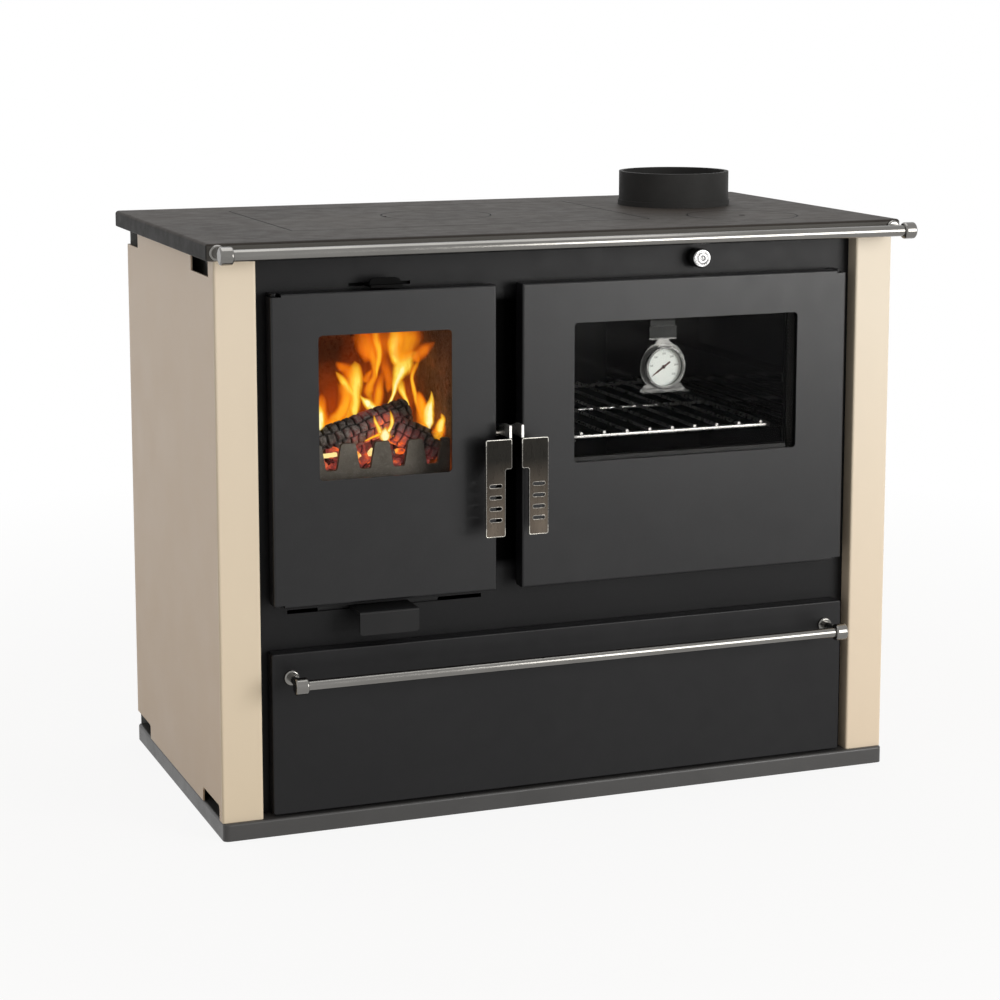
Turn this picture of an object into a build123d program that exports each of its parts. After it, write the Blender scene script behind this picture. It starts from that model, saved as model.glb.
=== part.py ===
from build123d import *

import os

# Freestanding wood cookstove: firebox on the left, oven on the right, fuel drawer below.
# Millimetres, Z up. The doors face -Y, and the origin is the middle of the plinth's underside.

os.makedirs("parts", exist_ok=True)

# Overall sizes
cooktop_height = 720.0
body_width = 895.0
plinth_depth = 458.5
plinth_height = 21.5
plinth_toe = 5.75
plinth_wall = 3.0
plinth_corner = 7.0
plinth_edge = 3.0

# Cast cooktop, its lift-out plate and its two ring lids
cooktop_thickness = 20.7
cooktop_side_lap = 9.5
cooktop_front_lap = 6.8
cooktop_rear_lap = 30.3
cooktop_corner = 7.0
cooktop_edge = 4.0
plate_thickness = 10.0
plate_ledge = 12.0
plate_gap = 1.3
plate_corner = 3.0
plate_left_margin = 138.5
plate_front_margin = 121.0
plate_rear_margin = 68.0
plate_to_right_lid = 62.0
lid_radius = 71.2
lid_gap = 0.9
lid_ledge = 11.0
left_lid_thickness = 5.0
right_lid_thickness = 8.0
right_lid_from_side = 165.0
right_lid_from_front = 125.3
lifter_hole = 9.0
lifter_notch = 4.0

# Flue collar
collar_radius = 75.0
collar_bore = 69.5
collar_height = 45.8
collar_foot = 1.4
collar_foot_height = 7.0
collar_from_side = 173.0
collar_from_rear = 169.6

# Enamelled side panels
enamel_sheet = 2.0
enamel_bend = 3.0
flange_width = 51.0
facade_recess = 21.0
rear_flange = 25.0
panel_seam = 0.5
upper_notch_height = 21.3
upper_notch_front = 25.0
upper_notch_length = 82.0
upper_rear_notch = 63.0
lower_notch_height = 18.2
lower_notch_front = 15.0
lower_notch_length = 79.5
lower_rear_notch = 77.0
notch_corner = 5.0

# Black front, inner shell and rear sheet
facade_thickness = 4.0
facade_side_gap = 1.0
shell_sheet = 3.0
shell_side_gap = 17.5
shell_rear_gap = 10.25
rear_sheet = 1.5
rear_panel_gap = 2.0
rear_slot_length = 46.0
rear_slot_width = 6.0
rear_slot_pitch = 74.0
rear_slot_count = 9
rear_slot_from_edge = 60.0

# Doors
column_offset = 82.4
column_width = 33.6
left_door_gap = 14.5
right_door_gap = 19.0
door_proud = 30.0
door_sheet = 2.5
door_edge = 2.5
top_band = 41.3
middle_band = 57.0
window_top_margin = 51.0
window_bottom_margin = 152.0
firebox_window_margin = 57.7
oven_window_margin = 68.5
window_corner = 5.0
frame_thickness = 6.0
frame_inset = 1.5
frame_window_gap = 10.0
gasket_width = 8.0
gasket_gap = 0.3
gasket_depth = 4.0
gasket_edge = 1.5
glass_lap = 12.0
glass_thickness = 4.0
clip_length = 22.0
clip_lap = 6.0
clip_leg = 4.0
clip_sheet = 1.5
sill_rise = 6.6
sill_thickness = 1.9
sill_chamfer = 1.4
sill_end_gap = 12.0

# Door hinges
pin_radius = 2.5
pin_clearance = 0.08
pin_length = 20.0
pin_from_edge = 7.0
pin_from_front = 12.0
barrel_radius = 4.2
barrel_gap = 0.4
lug_thickness = 3.2
lug_half_width = 4.0
lug_swing_gap = 2.0

# Door handles
handle_standoff = 27.0
handle_sheet = 3.0
handle_low = 73.0
handle_height = 120.0
handle_shoulder = 37.0
grip_width = 25.4
firebox_shoulder_lap = 8.5
oven_shoulder_lap = 12.3
oven_grip_inset = 3.0
handle_corner = 2.5
slot_count = 4
slot_pitch = 14.0
slot_length = 15.5
slot_height = 4.0
slot_top = 57.0
pivot_radius = 3.5
pivot_head_radius = 6.0
pivot_head = 2.0
pivot_rise = 0.5
arm_rise = 15.5
arm_neck = 22.0
latch_drop = 6.0
latch_half_height = 3.0
latch_rear_gap = 2.0
keeper_gap = 1.6
keeper_depth = 10.0
keeper_half_height = 8.0
stud_radius = 2.5
stud_gap = 1.0
stud_from_facade = 6.0

# Oven
oven_side_inset = 69.0
oven_sheet = 3.0
mouth_low = 39.0
mouth_top = 40.0
shell_clearance = 10.0
ledge_width = 18.0
ledge_leg = 14.0
ledge_sheet = 1.5
ledge_pitch = 72.0
rack_height = 134.0
rack_wire = 2.5
rack_rod = 2.0
rack_side_gap = 11.0
rack_end_gap = 8.0
rack_rod_count = 9
rack_rod_pitch = 31.3
rack_wire_edge = 1.7
rack_weld = 1.5
rack_weld_depth = 0.6
fit_gap = 0.3

# Oven thermometer
gauge_radius = 27.5
gauge_face = 23.0
gauge_depth = 10.0
gauge_wall = 1.2
gauge_plate = 31.5
gauge_drop = 79.5
gauge_behind = 8.0
gauge_left = 10.0
gauge_foot_width = 66.0
gauge_foot_waist = 50.0
gauge_foot_height = 9.0
gauge_shoulder = 28.0
gauge_shoulder_drop = 5.0
gauge_neck = 12.0
gauge_neck_height = 3.5
gauge_tab = 37.5
gauge_tab_height = 17.0
gauge_hook_width = 34.0
gauge_pivot = 0.8
pointer_length = 20.5
pointer_tail = 10.5
pointer_half = 1.1
pointer_angle = 215.0
pointer_sheet = 0.5
pointer_hub = 2.4
lens_thickness = 1.5

# Firebox
firebox_side_inset = 2.0
firebox_casing_sheet = 3.0
firebox_mouth_inset = 36.0
firebox_mouth_low = 19.0
firebox_mouth_top = 24.0
floor_drop = 15.0
brick_thickness = 40.0
brick_height = 190.0
brick_edge = 2.0
base_thickness = 10.0
base_below_window = 21.0
grate_thickness = 8.0
grate_rim = 12.0
grate_lap = 8.0
grate_slot_pitch = 22.0
grate_slot_width = 10.0
retainer_height = 56.0
retainer_thickness = 6.0
retainer_from_front = 6.0
retainer_slot_depth = 32.0
retainer_slot_top = 25.0
retainer_slot_foot = 14.0
retainer_slot_pitch = 43.0
retainer_slot_shift = 8.0
retainer_slot_count = 4
retainer_corner = 3.0
smoke_gap = 47.0
ash_pan_height = 56.0
ash_pan_side_gap = 16.0
ash_pan_sheet = 1.5
ash_pan_rear_gap = 60.5
ash_pan_front_gap = 16.0
ash_pan_lip = 12.0
air_inlet_count = 3
air_inlet_length = 46.0
air_inlet_width = 8.0
log_radius = 25.0
cross_log_radius = 27.0
cross_log_length = 176.0
log_from_retainer = 20.0
log_rear_gap = 89.0
cross_log_start = 35.0
cross_log_pitch = 78.0

# Air sliders
primary_slot_inset = 24.0
primary_slot_right_inset = 9.5
slot_clearance = 1.0
slider_sheet = 3.0
slider_bend = 2.4
slider_corner = 4.0
primary_tab_width = 75.0
primary_tab_shift = 8.0
primary_tab_drop = 28.5
primary_tab_reach = 40.5
primary_below_door = 10.5
secondary_tab_width = 39.7
secondary_tab_rise = 11.0
secondary_tab_reach = 22.5
secondary_lip = 6.0
secondary_corner = 7.0
secondary_above_door = 3.0
secondary_from_edge = 124.0
secondary_travel = 18.0
slider_plate_half = 14.0
guide_sheet = 2.0
guide_gap = 0.4

# Flue damper
damper_from_flue = 104.0
damper_below_top = 20.5
knob_radius = 12.3
knob_thickness = 12.0
knob_neck = 7.5
knob_neck_radius = 5.0
knob_edge = 2.5
rod_radius = 4.0
damper_plate_length = 100.0
damper_plate_height = 56.0
damper_plate_from_rear = 119.0
damper_plate_rise = 11.2
damper_window_margin = 6.0
damper_travel = 70.0
baffle_sheet = 3.0
guide_hook = 4.0

# Fuel drawer
drawer_side_gap = 12.5
drawer_lift = 2.5
drawer_height = 200.0
drawer_front_proud = 1.0
drawer_return = 18.0
drawer_corner = 3.0
drawer_edge = 2.0
drawer_mouth_inset = 12.0
drawer_mouth_low = 6.0
drawer_box_gap = 6.0
drawer_box_sheet = 1.5
drawer_box_rear_gap = 40.0
drawer_box_height = 166.0
drawer_box_lift = 4.0
runner_width = 24.0
runner_lip = 3.0
runner_lip_height = 14.0
runner_gap = 1.2

# Towel rail on the cooktop and pull rail on the drawer
rail_radius = 7.0
rail_wall = 1.5
ferrule_radius = 10.5
ferrule_length = 16.0
ferrule_edge = 2.5
rosette_radius = 9.5
rosette_thickness = 4.0
rosette_dome = 2.4
post_radius = 5.0
top_rail_reach = 39.7
top_rail_end_inset = 12.5
top_rail_drop = 10.7
drawer_rail_radius = 6.5
drawer_rail_reach = 41.5
drawer_rail_end_inset = 24.0
drawer_rail_from_top = 30.0

# Levels and planes worked out from the sizes above
hexagon_flat = 3 ** 0.5 / 2
front_face = plinth_toe - plinth_depth / 2
rear_face = plinth_depth / 2
side_face = body_width / 2
cooktop_under = cooktop_height - cooktop_thickness
facade_front = front_face + facade_recess
facade_back = facade_front + facade_thickness
shell_side = side_face - shell_side_gap
shell_inside = shell_side - shell_sheet
shell_rear = rear_face - shell_rear_gap
shell_rear_inside = shell_rear - shell_sheet
flange_edge = side_face - flange_width

cooktop_side = side_face + cooktop_side_lap
cooktop_front = front_face - cooktop_front_lap
cooktop_rear = rear_face + cooktop_rear_lap
right_lid_x = cooktop_side - right_lid_from_side
right_lid_y = cooktop_front + right_lid_from_front
collar_x = cooktop_side - collar_from_side
collar_y = cooktop_rear - collar_from_rear
plate_left = plate_left_margin - cooktop_side
plate_right = right_lid_x - lid_radius - plate_to_right_lid
plate_front = cooktop_front + plate_front_margin
plate_rear = cooktop_rear - plate_rear_margin
left_lid_x = (plate_left + plate_right) / 2
left_lid_y = (plate_front + plate_rear) / 2

drawer_low = plinth_height + drawer_lift
drawer_top = drawer_low + drawer_height
door_low = drawer_top + middle_band
door_top = cooktop_under - top_band
door_front = facade_front - door_proud
frame_rear = facade_front - gasket_depth
door_rear = frame_rear - frame_thickness
pivot_y = (door_front + door_sheet + door_rear) / 2
stud_y = facade_front - stud_from_facade
arm_lobe = stud_y - stud_radius - stud_gap - pivot_y
window_low = door_low + window_bottom_margin
window_top = door_top - window_top_margin
column_left = -column_offset - column_width / 2
column_right = -column_offset + column_width / 2
firebox_door_left = left_door_gap - flange_edge
firebox_door_right = column_left
oven_door_left = column_right
oven_door_right = flange_edge - right_door_gap

oven_left = oven_door_left + oven_side_inset
oven_right = oven_door_right - oven_side_inset
oven_low = door_low + mouth_low
oven_top = door_top - mouth_top
oven_rear = shell_rear_inside - shell_clearance

firebox_left = firebox_door_left + firebox_side_inset
firebox_right = firebox_door_right - firebox_side_inset
hearth_left = firebox_left + firebox_casing_sheet
hearth_right = firebox_right - firebox_casing_sheet
firebox_mouth_left = firebox_door_left + firebox_mouth_inset
firebox_mouth_right = firebox_door_right - firebox_mouth_inset
floor_top = door_low + floor_drop
base_top = window_low - base_below_window
base_low = base_top - base_thickness


def block(x_low, x_high, y_low, y_high, z_low, z_high, mode=Mode.ADD):
    # A rectangular block between six planes
    with Locations(((x_low + x_high) / 2, (y_low + y_high) / 2, (z_low + z_high) / 2)):
        Box(x_high - x_low, y_high - y_low, z_high - z_low, mode=mode)


def patch(x_low, x_high, y_low, y_high, radius=0.0, mode=Mode.ADD):
    # A rectangle between four lines of the sketch, with rounded corners where a radius is given
    with Locations(((x_low + x_high) / 2, (y_low + y_high) / 2)):
        if radius > 0:
            RectangleRounded(x_high - x_low, y_high - y_low, radius, mode=mode)
        else:
            Rectangle(x_high - x_low, y_high - y_low, mode=mode)


def front_plane(y):
    # A sketch plane across the stove at depth y: its X and Y are the stove's X and Z, it faces -Y
    return Plane.XZ.offset(-y)


# Plinth: a pressed tray, upside down, with rounded corners
with BuildPart() as plinth:
    with BuildSketch():
        RectangleRounded(body_width, plinth_depth, plinth_corner)
    extrude(amount=plinth_height)
    fillet(plinth.edges().group_by(Axis.Z)[-1], radius=plinth_edge)
    with BuildSketch():
        RectangleRounded(
            body_width - 2 * plinth_wall, plinth_depth - 2 * plinth_wall, plinth_corner - plinth_wall
        )
    extrude(amount=plinth_height - plinth_wall, mode=Mode.SUBTRACT)
plinth.part.label = "plinth"
export_step(plinth.part, "parts/plinth.step")

# Side panels: one bent enamelled sheet each, with a front flange, its return and a rear flange
panel_top = cooktop_under - panel_seam
for side_name, mirrored in (("right", False), ("left", True)):
    with BuildPart() as side_panel:
        with BuildSketch(Plane.XY.offset(plinth_height)):
            with BuildLine():
                FilletPolyline(
                    (side_face - rear_flange, rear_face),
                    (side_face, rear_face),
                    (side_face, front_face),
                    (flange_edge, front_face),
                    (flange_edge, facade_front),
                    radius=enamel_bend,
                )
                offset(amount=enamel_sheet, side=Side.RIGHT)
            make_face()
        extrude(amount=panel_top - plinth_height)
        upper_notch_z = cooktop_under - upper_notch_height
        lower_notch_z = plinth_height + lower_notch_height
        behind_flange = side_face - rear_flange - enamel_bend
        inside_front = side_face - enamel_bend - enamel_sheet
        upper_start = front_face + upper_notch_front
        block(
            inside_front, side_face + 1, upper_start, upper_start + upper_notch_length,
            upper_notch_z, cooktop_under, mode=Mode.SUBTRACT,
        )
        block(
            behind_flange, side_face + 1, rear_face - upper_rear_notch, rear_face + 1,
            upper_notch_z, cooktop_under, mode=Mode.SUBTRACT,
        )
        lower_start = front_face + lower_notch_front
        lower_rear_start = rear_face - lower_rear_notch
        with BuildSketch(Plane.YZ.offset(behind_flange)):
            patch(
                lower_rear_start, rear_face + 2 * notch_corner,
                plinth_height - 2 * notch_corner, lower_notch_z, notch_corner,
            )
            patch(
                lower_start, lower_start + lower_notch_length,
                plinth_height - 2 * notch_corner, lower_notch_z, notch_corner,
            )
        extrude(amount=rear_flange + 2 * enamel_bend, mode=Mode.SUBTRACT)
        if mirrored:
            mirror(about=Plane.YZ, mode=Mode.REPLACE)
    side_panel.part.label = f"side_panel_{side_name}"
    export_step(side_panel.part, f"parts/side_panel_{side_name}.step")

# Rear heat shield: a plain sheet between the rear flanges, with two rows of cooling slots
with BuildPart() as rear_panel:
    rear_panel_y = rear_face - enamel_sheet
    with BuildSketch(front_plane(rear_panel_y)):
        half = side_face - enamel_sheet - rear_panel_gap
        patch(-half, half, plinth_height, panel_top)
    extrude(amount=rear_sheet)
    with BuildSketch(front_plane(rear_panel_y + 1)):
        for slot_z in (plinth_height + rear_slot_from_edge, panel_top - rear_slot_from_edge):
            with Locations((0, slot_z)):
                with GridLocations(rear_slot_pitch, 1, rear_slot_count, 1):
                    SlotOverall(rear_slot_length, rear_slot_width, rotation=90)
    extrude(amount=rear_sheet + 2, mode=Mode.SUBTRACT)
rear_panel.part.label = "rear_panel"
export_step(rear_panel.part, "parts/rear_panel.step")

# Body shell: left, right and rear walls that stand on the plinth and carry the cooktop
with BuildPart() as body_shell:
    with BuildSketch(Plane.XY.offset(plinth_height)):
        patch(-shell_side, shell_side, facade_back, shell_rear)
        patch(-shell_inside, shell_inside, facade_back, shell_rear_inside, mode=Mode.SUBTRACT)
    extrude(amount=cooktop_under - plinth_height)
body_shell.part.label = "body_shell"
export_step(body_shell.part, "parts/body_shell.step")

# Casing floor: the sheet under the ash space, with the primary air inlets in front of the ash pan
with BuildPart() as casing_floor:
    block(
        -shell_inside, shell_inside, facade_back, shell_rear_inside,
        floor_top - shell_sheet, floor_top,
    )
    with BuildSketch(Plane.XY.offset(floor_top)):
        inlet_x = (firebox_mouth_left + firebox_mouth_right) / 2
        with Locations((inlet_x, facade_back + ash_pan_front_gap / 2)):
            with GridLocations(air_inlet_length + air_inlet_width, 1, air_inlet_count, 1):
                SlotOverall(air_inlet_length, air_inlet_width)
    extrude(amount=-shell_sheet, mode=Mode.SUBTRACT)
casing_floor.part.label = "casing_floor"
export_step(casing_floor.part, "parts/casing_floor.step")

# Air slots and slider places on the facade
primary_slot_left = firebox_door_left + primary_slot_inset
primary_slot_right = firebox_door_right - primary_slot_right_inset
primary_neck_top = door_low - primary_below_door
primary_neck_low = primary_neck_top - slider_sheet
primary_x = (primary_slot_left + primary_slot_right) / 2 - primary_tab_shift
primary_travel = min(
    primary_x - primary_tab_width / 2 - primary_slot_left,
    primary_slot_right - primary_x - primary_tab_width / 2,
) / 2
secondary_x = firebox_door_left + secondary_from_edge + secondary_tab_width / 2
secondary_neck_low = door_top + secondary_above_door
secondary_neck_top = secondary_neck_low + slider_sheet
secondary_half = secondary_tab_width / 2 + secondary_travel + slot_clearance
damper_x = collar_x - damper_from_flue
damper_z = cooktop_under - damper_below_top
drawer_side = flange_edge - drawer_side_gap
drawer_mouth_side = drawer_side - drawer_mouth_inset

# Facade: the black front plate with its mouths, air slots and damper hole
with BuildPart() as facade:
    with BuildSketch(front_plane(facade_back)):
        facade_side = side_face - enamel_sheet - facade_side_gap
        patch(-facade_side, facade_side, plinth_height, cooktop_under)
        patch(
            firebox_mouth_left, firebox_mouth_right,
            door_low + firebox_mouth_low, door_top - firebox_mouth_top,
            window_corner, mode=Mode.SUBTRACT,
        )
        patch(oven_left, oven_right, oven_low, oven_top, window_corner, mode=Mode.SUBTRACT)
        patch(
            -drawer_mouth_side, drawer_mouth_side,
            drawer_low + drawer_mouth_low, drawer_top - drawer_mouth_low, mode=Mode.SUBTRACT,
        )
        patch(
            primary_slot_left, primary_slot_right,
            primary_neck_low - slot_clearance, primary_neck_top + slot_clearance,
            mode=Mode.SUBTRACT,
        )
        patch(
            secondary_x - secondary_half, secondary_x + secondary_half,
            secondary_neck_low - slot_clearance / 2, secondary_neck_top + slot_clearance / 2,
            mode=Mode.SUBTRACT,
        )
        with Locations((damper_x, damper_z)):
            Circle(rod_radius + pin_clearance, mode=Mode.SUBTRACT)
    extrude(amount=facade_thickness)
facade.part.label = "facade"
export_step(facade.part, "parts/facade.step")

# Cooktop: cast plate with ledges for the lift-out plate and the right lid, and the flue hole
with BuildPart() as cooktop:
    with BuildSketch(Plane.XY.offset(cooktop_under)):
        patch(-cooktop_side, cooktop_side, cooktop_front, cooktop_rear, cooktop_corner)
    extrude(amount=cooktop_thickness)
    fillet(cooktop.edges().group_by(Axis.Z)[-1], radius=cooktop_edge)
    fillet(cooktop.edges().group_by(Axis.Z)[0], radius=cooktop_edge / 2)
    with BuildSketch(Plane.XY.offset(cooktop_height)):
        patch(
            plate_left, plate_right, plate_front, plate_rear, plate_corner,
        )
    extrude(amount=-plate_thickness, mode=Mode.SUBTRACT)
    with BuildSketch(Plane.XY.offset(cooktop_height)):
        patch(
            plate_left + plate_ledge, plate_right - plate_ledge,
            plate_front + plate_ledge, plate_rear - plate_ledge, plate_corner,
        )
    extrude(amount=-cooktop_thickness, mode=Mode.SUBTRACT)
    with Locations((right_lid_x, right_lid_y, cooktop_height)):
        CounterBoreHole(
            lid_radius - lid_ledge, lid_radius + lid_gap, right_lid_thickness, cooktop_thickness
        )
    with Locations((collar_x, collar_y, cooktop_height)):
        Hole(collar_bore, cooktop_thickness)
cooktop.part.label = "cooktop"
export_step(cooktop.part, "parts/cooktop.step")

# Lift-out plate over the firebox, with the seat of the left lid
with BuildPart() as centre_plate:
    with BuildSketch(Plane.XY.offset(cooktop_height)):
        patch(
            plate_left + plate_gap, plate_right - plate_gap,
            plate_front + plate_gap, plate_rear - plate_gap, plate_corner - plate_gap,
        )
    extrude(amount=fit_gap - plate_thickness)
    with Locations((left_lid_x, left_lid_y, cooktop_height)):
        CounterBoreHole(
            lid_radius - lid_ledge, lid_radius + lid_gap, left_lid_thickness, plate_thickness
        )
centre_plate.part.label = "centre_plate"
export_step(centre_plate.part, "parts/centre_plate.step")

# Ring lids: the left one has a notch at its rim for the lifter, the right one a hole
with BuildPart() as left_ring_lid:
    with BuildSketch(Plane.XY.offset(cooktop_height)):
        with Locations((left_lid_x, left_lid_y)):
            Circle(lid_radius)
        with Locations((left_lid_x - lid_radius, left_lid_y)):
            Circle(lifter_notch, mode=Mode.SUBTRACT)
    extrude(amount=fit_gap - left_lid_thickness)
left_ring_lid.part.label = "left_ring_lid"
export_step(left_ring_lid.part, "parts/left_ring_lid.step")

with BuildPart() as right_ring_lid:
    with BuildSketch(Plane.XY.offset(cooktop_height)):
        with Locations((right_lid_x, right_lid_y)):
            Circle(lid_radius)
            Circle(lifter_hole / 2, mode=Mode.SUBTRACT)
    extrude(amount=fit_gap - right_lid_thickness)
right_ring_lid.part.label = "right_ring_lid"
export_step(right_ring_lid.part, "parts/right_ring_lid.step")

# Flue collar: a straight ring for the pipe, with a small foot on the cooktop
with BuildPart() as flue_collar:
    with BuildSketch(Plane.XY.offset(cooktop_height)):
        with Locations((collar_x, collar_y)):
            Circle(collar_radius + collar_foot)
            Circle(collar_bore, mode=Mode.SUBTRACT)
    extrude(amount=collar_foot_height)
    with BuildSketch(Plane.XY.offset(cooktop_height)):
        with Locations((collar_x, collar_y)):
            Circle(collar_radius)
            Circle(collar_bore, mode=Mode.SUBTRACT)
    extrude(amount=collar_height)
flue_collar.part.label = "flue_collar"
export_step(flue_collar.part, "parts/flue_collar.step")


def rail_brackets(ferrule_x, mount_y, rail_y, rail_z):
    # Rosette, post and ferrule at each end of a rail, the ferrule's axis along the rail
    with BuildPart() as brackets:
        for side in (-1, 1):
            with BuildSketch(front_plane(mount_y)):
                with Locations((side * ferrule_x, rail_z)):
                    Circle(rosette_radius)
            extrude(amount=rosette_thickness)
            with BuildSketch(front_plane(mount_y)):
                with Locations((side * ferrule_x, rail_z)):
                    Circle(post_radius)
            extrude(amount=mount_y - rail_y)
        for side in (-1, 1):
            with BuildSketch(Plane.YZ.offset(side * ferrule_x - ferrule_length / 2)):
                with Locations((rail_y, rail_z)):
                    Circle(ferrule_radius)
            extrude(amount=ferrule_length)
        ferrule_rims = brackets.edges().filter_by(GeomType.CIRCLE).filter_by(
            lambda edge: abs(edge.radius - ferrule_radius) < 0.01
        )
        fillet(ferrule_rims, radius=ferrule_edge)
        domes = brackets.faces().filter_by(Axis.Y).filter_by(
            lambda face: abs(face.center().Y - mount_y + rosette_thickness) < 0.01
        )
        fillet([face.outer_wire().edges()[0] for face in domes], radius=rosette_dome)
    return brackets.part


def rail_tube(half_length, y, z, radius):
    # Tube along X between the ferrules
    with BuildPart() as tube:
        with BuildSketch(Plane.YZ.offset(-half_length)):
            with Locations((y, z)):
                Circle(radius)
                Circle(radius - rail_wall, mode=Mode.SUBTRACT)
        extrude(amount=2 * half_length)
    return tube.part


# Towel rail along the cooktop's front edge
top_rail_y = cooktop_front - top_rail_reach
top_rail_z = cooktop_height - top_rail_drop
top_ferrule_x = cooktop_side - top_rail_end_inset
with BuildPart() as top_rail_brackets:
    add(rail_brackets(top_ferrule_x, cooktop_front, top_rail_y, top_rail_z))
top_rail_brackets.part.label = "top_rail_brackets"
export_step(top_rail_brackets.part, "parts/top_rail_brackets.step")

with BuildPart() as top_rail_tube:
    add(rail_tube(top_ferrule_x - ferrule_length / 2, top_rail_y, top_rail_z, rail_radius))
top_rail_tube.part.label = "top_rail_tube"
export_step(top_rail_tube.part, "parts/top_rail_tube.step")


def hinge_pin_x(x_low, x_high, hinge_left):
    # Where a door's hinge pins stand
    if hinge_left:
        return x_low + pin_from_edge
    return x_high - pin_from_edge


def door_shell(x_low, x_high, window_margin, hinge_left):
    # Outer pan of a door: front sheet with the window, four returns, notches for the hinge lugs
    with BuildPart() as shell:
        block(x_low, x_high, door_front, door_rear, door_low, door_top)
        front_edges = shell.edges().group_by(Axis.Y)[0]
        fillet(front_edges, radius=door_edge)
        block(
            x_low + door_sheet, x_high - door_sheet, door_front + door_sheet, door_rear + 1,
            door_low + door_sheet, door_top - door_sheet, mode=Mode.SUBTRACT,
        )
        with BuildSketch(front_plane(door_rear)):
            patch(
                x_low + window_margin, x_high - window_margin, window_low, window_top, window_corner
            )
        extrude(amount=door_rear - door_front + 1, mode=Mode.SUBTRACT)
        notch_width = pin_from_edge + lug_half_width + lug_swing_gap
        notch_low = x_low - 1 if hinge_left else x_high - notch_width
        notch_high = x_low + notch_width if hinge_left else x_high + 1
        notch_depth = lug_thickness + barrel_gap
        for z_low, z_high in (
            (door_top - notch_depth, door_top + 1),
            (door_low - 1, door_low + notch_depth),
        ):
            block(
                notch_low, notch_high, door_front - 1, door_rear + 1, z_low, z_high,
                mode=Mode.SUBTRACT,
            )
        latch_x = x_high if hinge_left else x_low
        with BuildSketch(Plane.YZ.offset(latch_x - door_sheet - 1)):
            with Locations((pivot_y, handle_pivot_z)):
                Circle(pivot_radius)
        extrude(amount=2 * door_sheet + 2, mode=Mode.SUBTRACT)
    return shell.part


def door_frame(x_low, x_high, window_margin, hinge_left):
    # Cast inner frame behind the pan, with the two hinge barrels in its corners
    pin_x = hinge_pin_x(x_low, x_high, hinge_left)
    pin_y = door_front + pin_from_front
    with BuildPart() as frame:
        with BuildSketch(front_plane(frame_rear)):
            patch(
                x_low + frame_inset, x_high - frame_inset,
                door_low + frame_inset, door_top - frame_inset,
            )
            patch(
                x_low + window_margin - frame_window_gap, x_high - window_margin + frame_window_gap,
                window_low - frame_window_gap, window_top + frame_window_gap,
                window_corner, mode=Mode.SUBTRACT,
            )
        extrude(amount=frame_thickness)
        notch_width = pin_from_edge + lug_half_width + lug_swing_gap
        notch_low = x_low if hinge_left else x_high - notch_width
        notch_high = x_low + notch_width if hinge_left else x_high
        notch_depth = lug_thickness + barrel_gap
        for z_low, z_high in (
            (door_top - notch_depth, door_top),
            (door_low, door_low + notch_depth),
        ):
            block(
                notch_low, notch_high, door_rear - 1, frame_rear + 1, z_low, z_high,
                mode=Mode.SUBTRACT,
            )
        for barrel_low in (
            door_low + notch_depth,
            door_top - notch_depth - pin_length - barrel_gap,
        ):
            with BuildSketch(Plane.XY.offset(barrel_low)):
                with Locations((pin_x, pin_y)):
                    Circle(barrel_radius)
                patch(pin_x - barrel_radius, pin_x + barrel_radius, pin_y, door_rear + 1)
            extrude(amount=pin_length + barrel_gap)
            with BuildSketch(Plane.XY.offset(barrel_low)):
                with Locations((pin_x, pin_y)):
                    Circle(pin_radius + pin_clearance)
            extrude(amount=pin_length + barrel_gap, mode=Mode.SUBTRACT)
    return frame.part


def door_glass(x_low, x_high, window_margin):
    # Flat pane against the back of the front sheet
    with BuildPart() as glass:
        block(
            x_low + window_margin - glass_lap, x_high - window_margin + glass_lap,
            door_front + door_sheet, door_front + door_sheet + glass_thickness,
            window_low - glass_lap, window_top + glass_lap,
        )
    return glass.part


def glass_clips(x_low, x_high, window_margin):
    # Six stepped clips that hold the pane: three along the top, three along the bottom
    pane_front = door_front + door_sheet
    pane_rear = pane_front + glass_thickness
    clip_spread = (x_high - x_low - 2 * window_margin - clip_length) / 2
    with BuildPart() as clips:
        for edge_z, outward in ((window_low - glass_lap, -1), (window_top + glass_lap, 1)):
            for step in (-1, 0, 1):
                clip_x = (x_low + x_high) / 2 + step * clip_spread
                z_ends = sorted((edge_z - outward * clip_lap, edge_z + outward * (clip_leg + fit_gap)))
                leg_ends = sorted((edge_z + outward * fit_gap, edge_z + outward * (clip_leg + fit_gap)))
                block(
                    clip_x - clip_length / 2, clip_x + clip_length / 2,
                    pane_rear, pane_rear + clip_sheet, z_ends[0], z_ends[1],
                )
                block(
                    clip_x - clip_length / 2, clip_x + clip_length / 2,
                    pane_front, pane_rear, leg_ends[0], leg_ends[1],
                )
    return clips.part


def door_gasket(mouth_left, mouth_right, mouth_low_z, mouth_top_z):
    # Rope seal round a mouth, seated on the inner frame and just clear of the facade
    reach = gasket_width + gasket_edge
    with BuildPart() as gasket:
        with BuildSketch(front_plane(facade_front - gasket_gap)):
            patch(
                mouth_left - reach, mouth_right + reach, mouth_low_z - reach, mouth_top_z + reach,
                window_corner + reach,
            )
            patch(
                mouth_left - gasket_edge, mouth_right + gasket_edge,
                mouth_low_z - gasket_edge, mouth_top_z + gasket_edge,
                window_corner + gasket_edge, mode=Mode.SUBTRACT,
            )
        extrude(amount=facade_front - gasket_gap - frame_rear)
        fillet(gasket.edges().group_by(Axis.Y)[-1], radius=gasket_edge)
    return gasket.part


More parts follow.
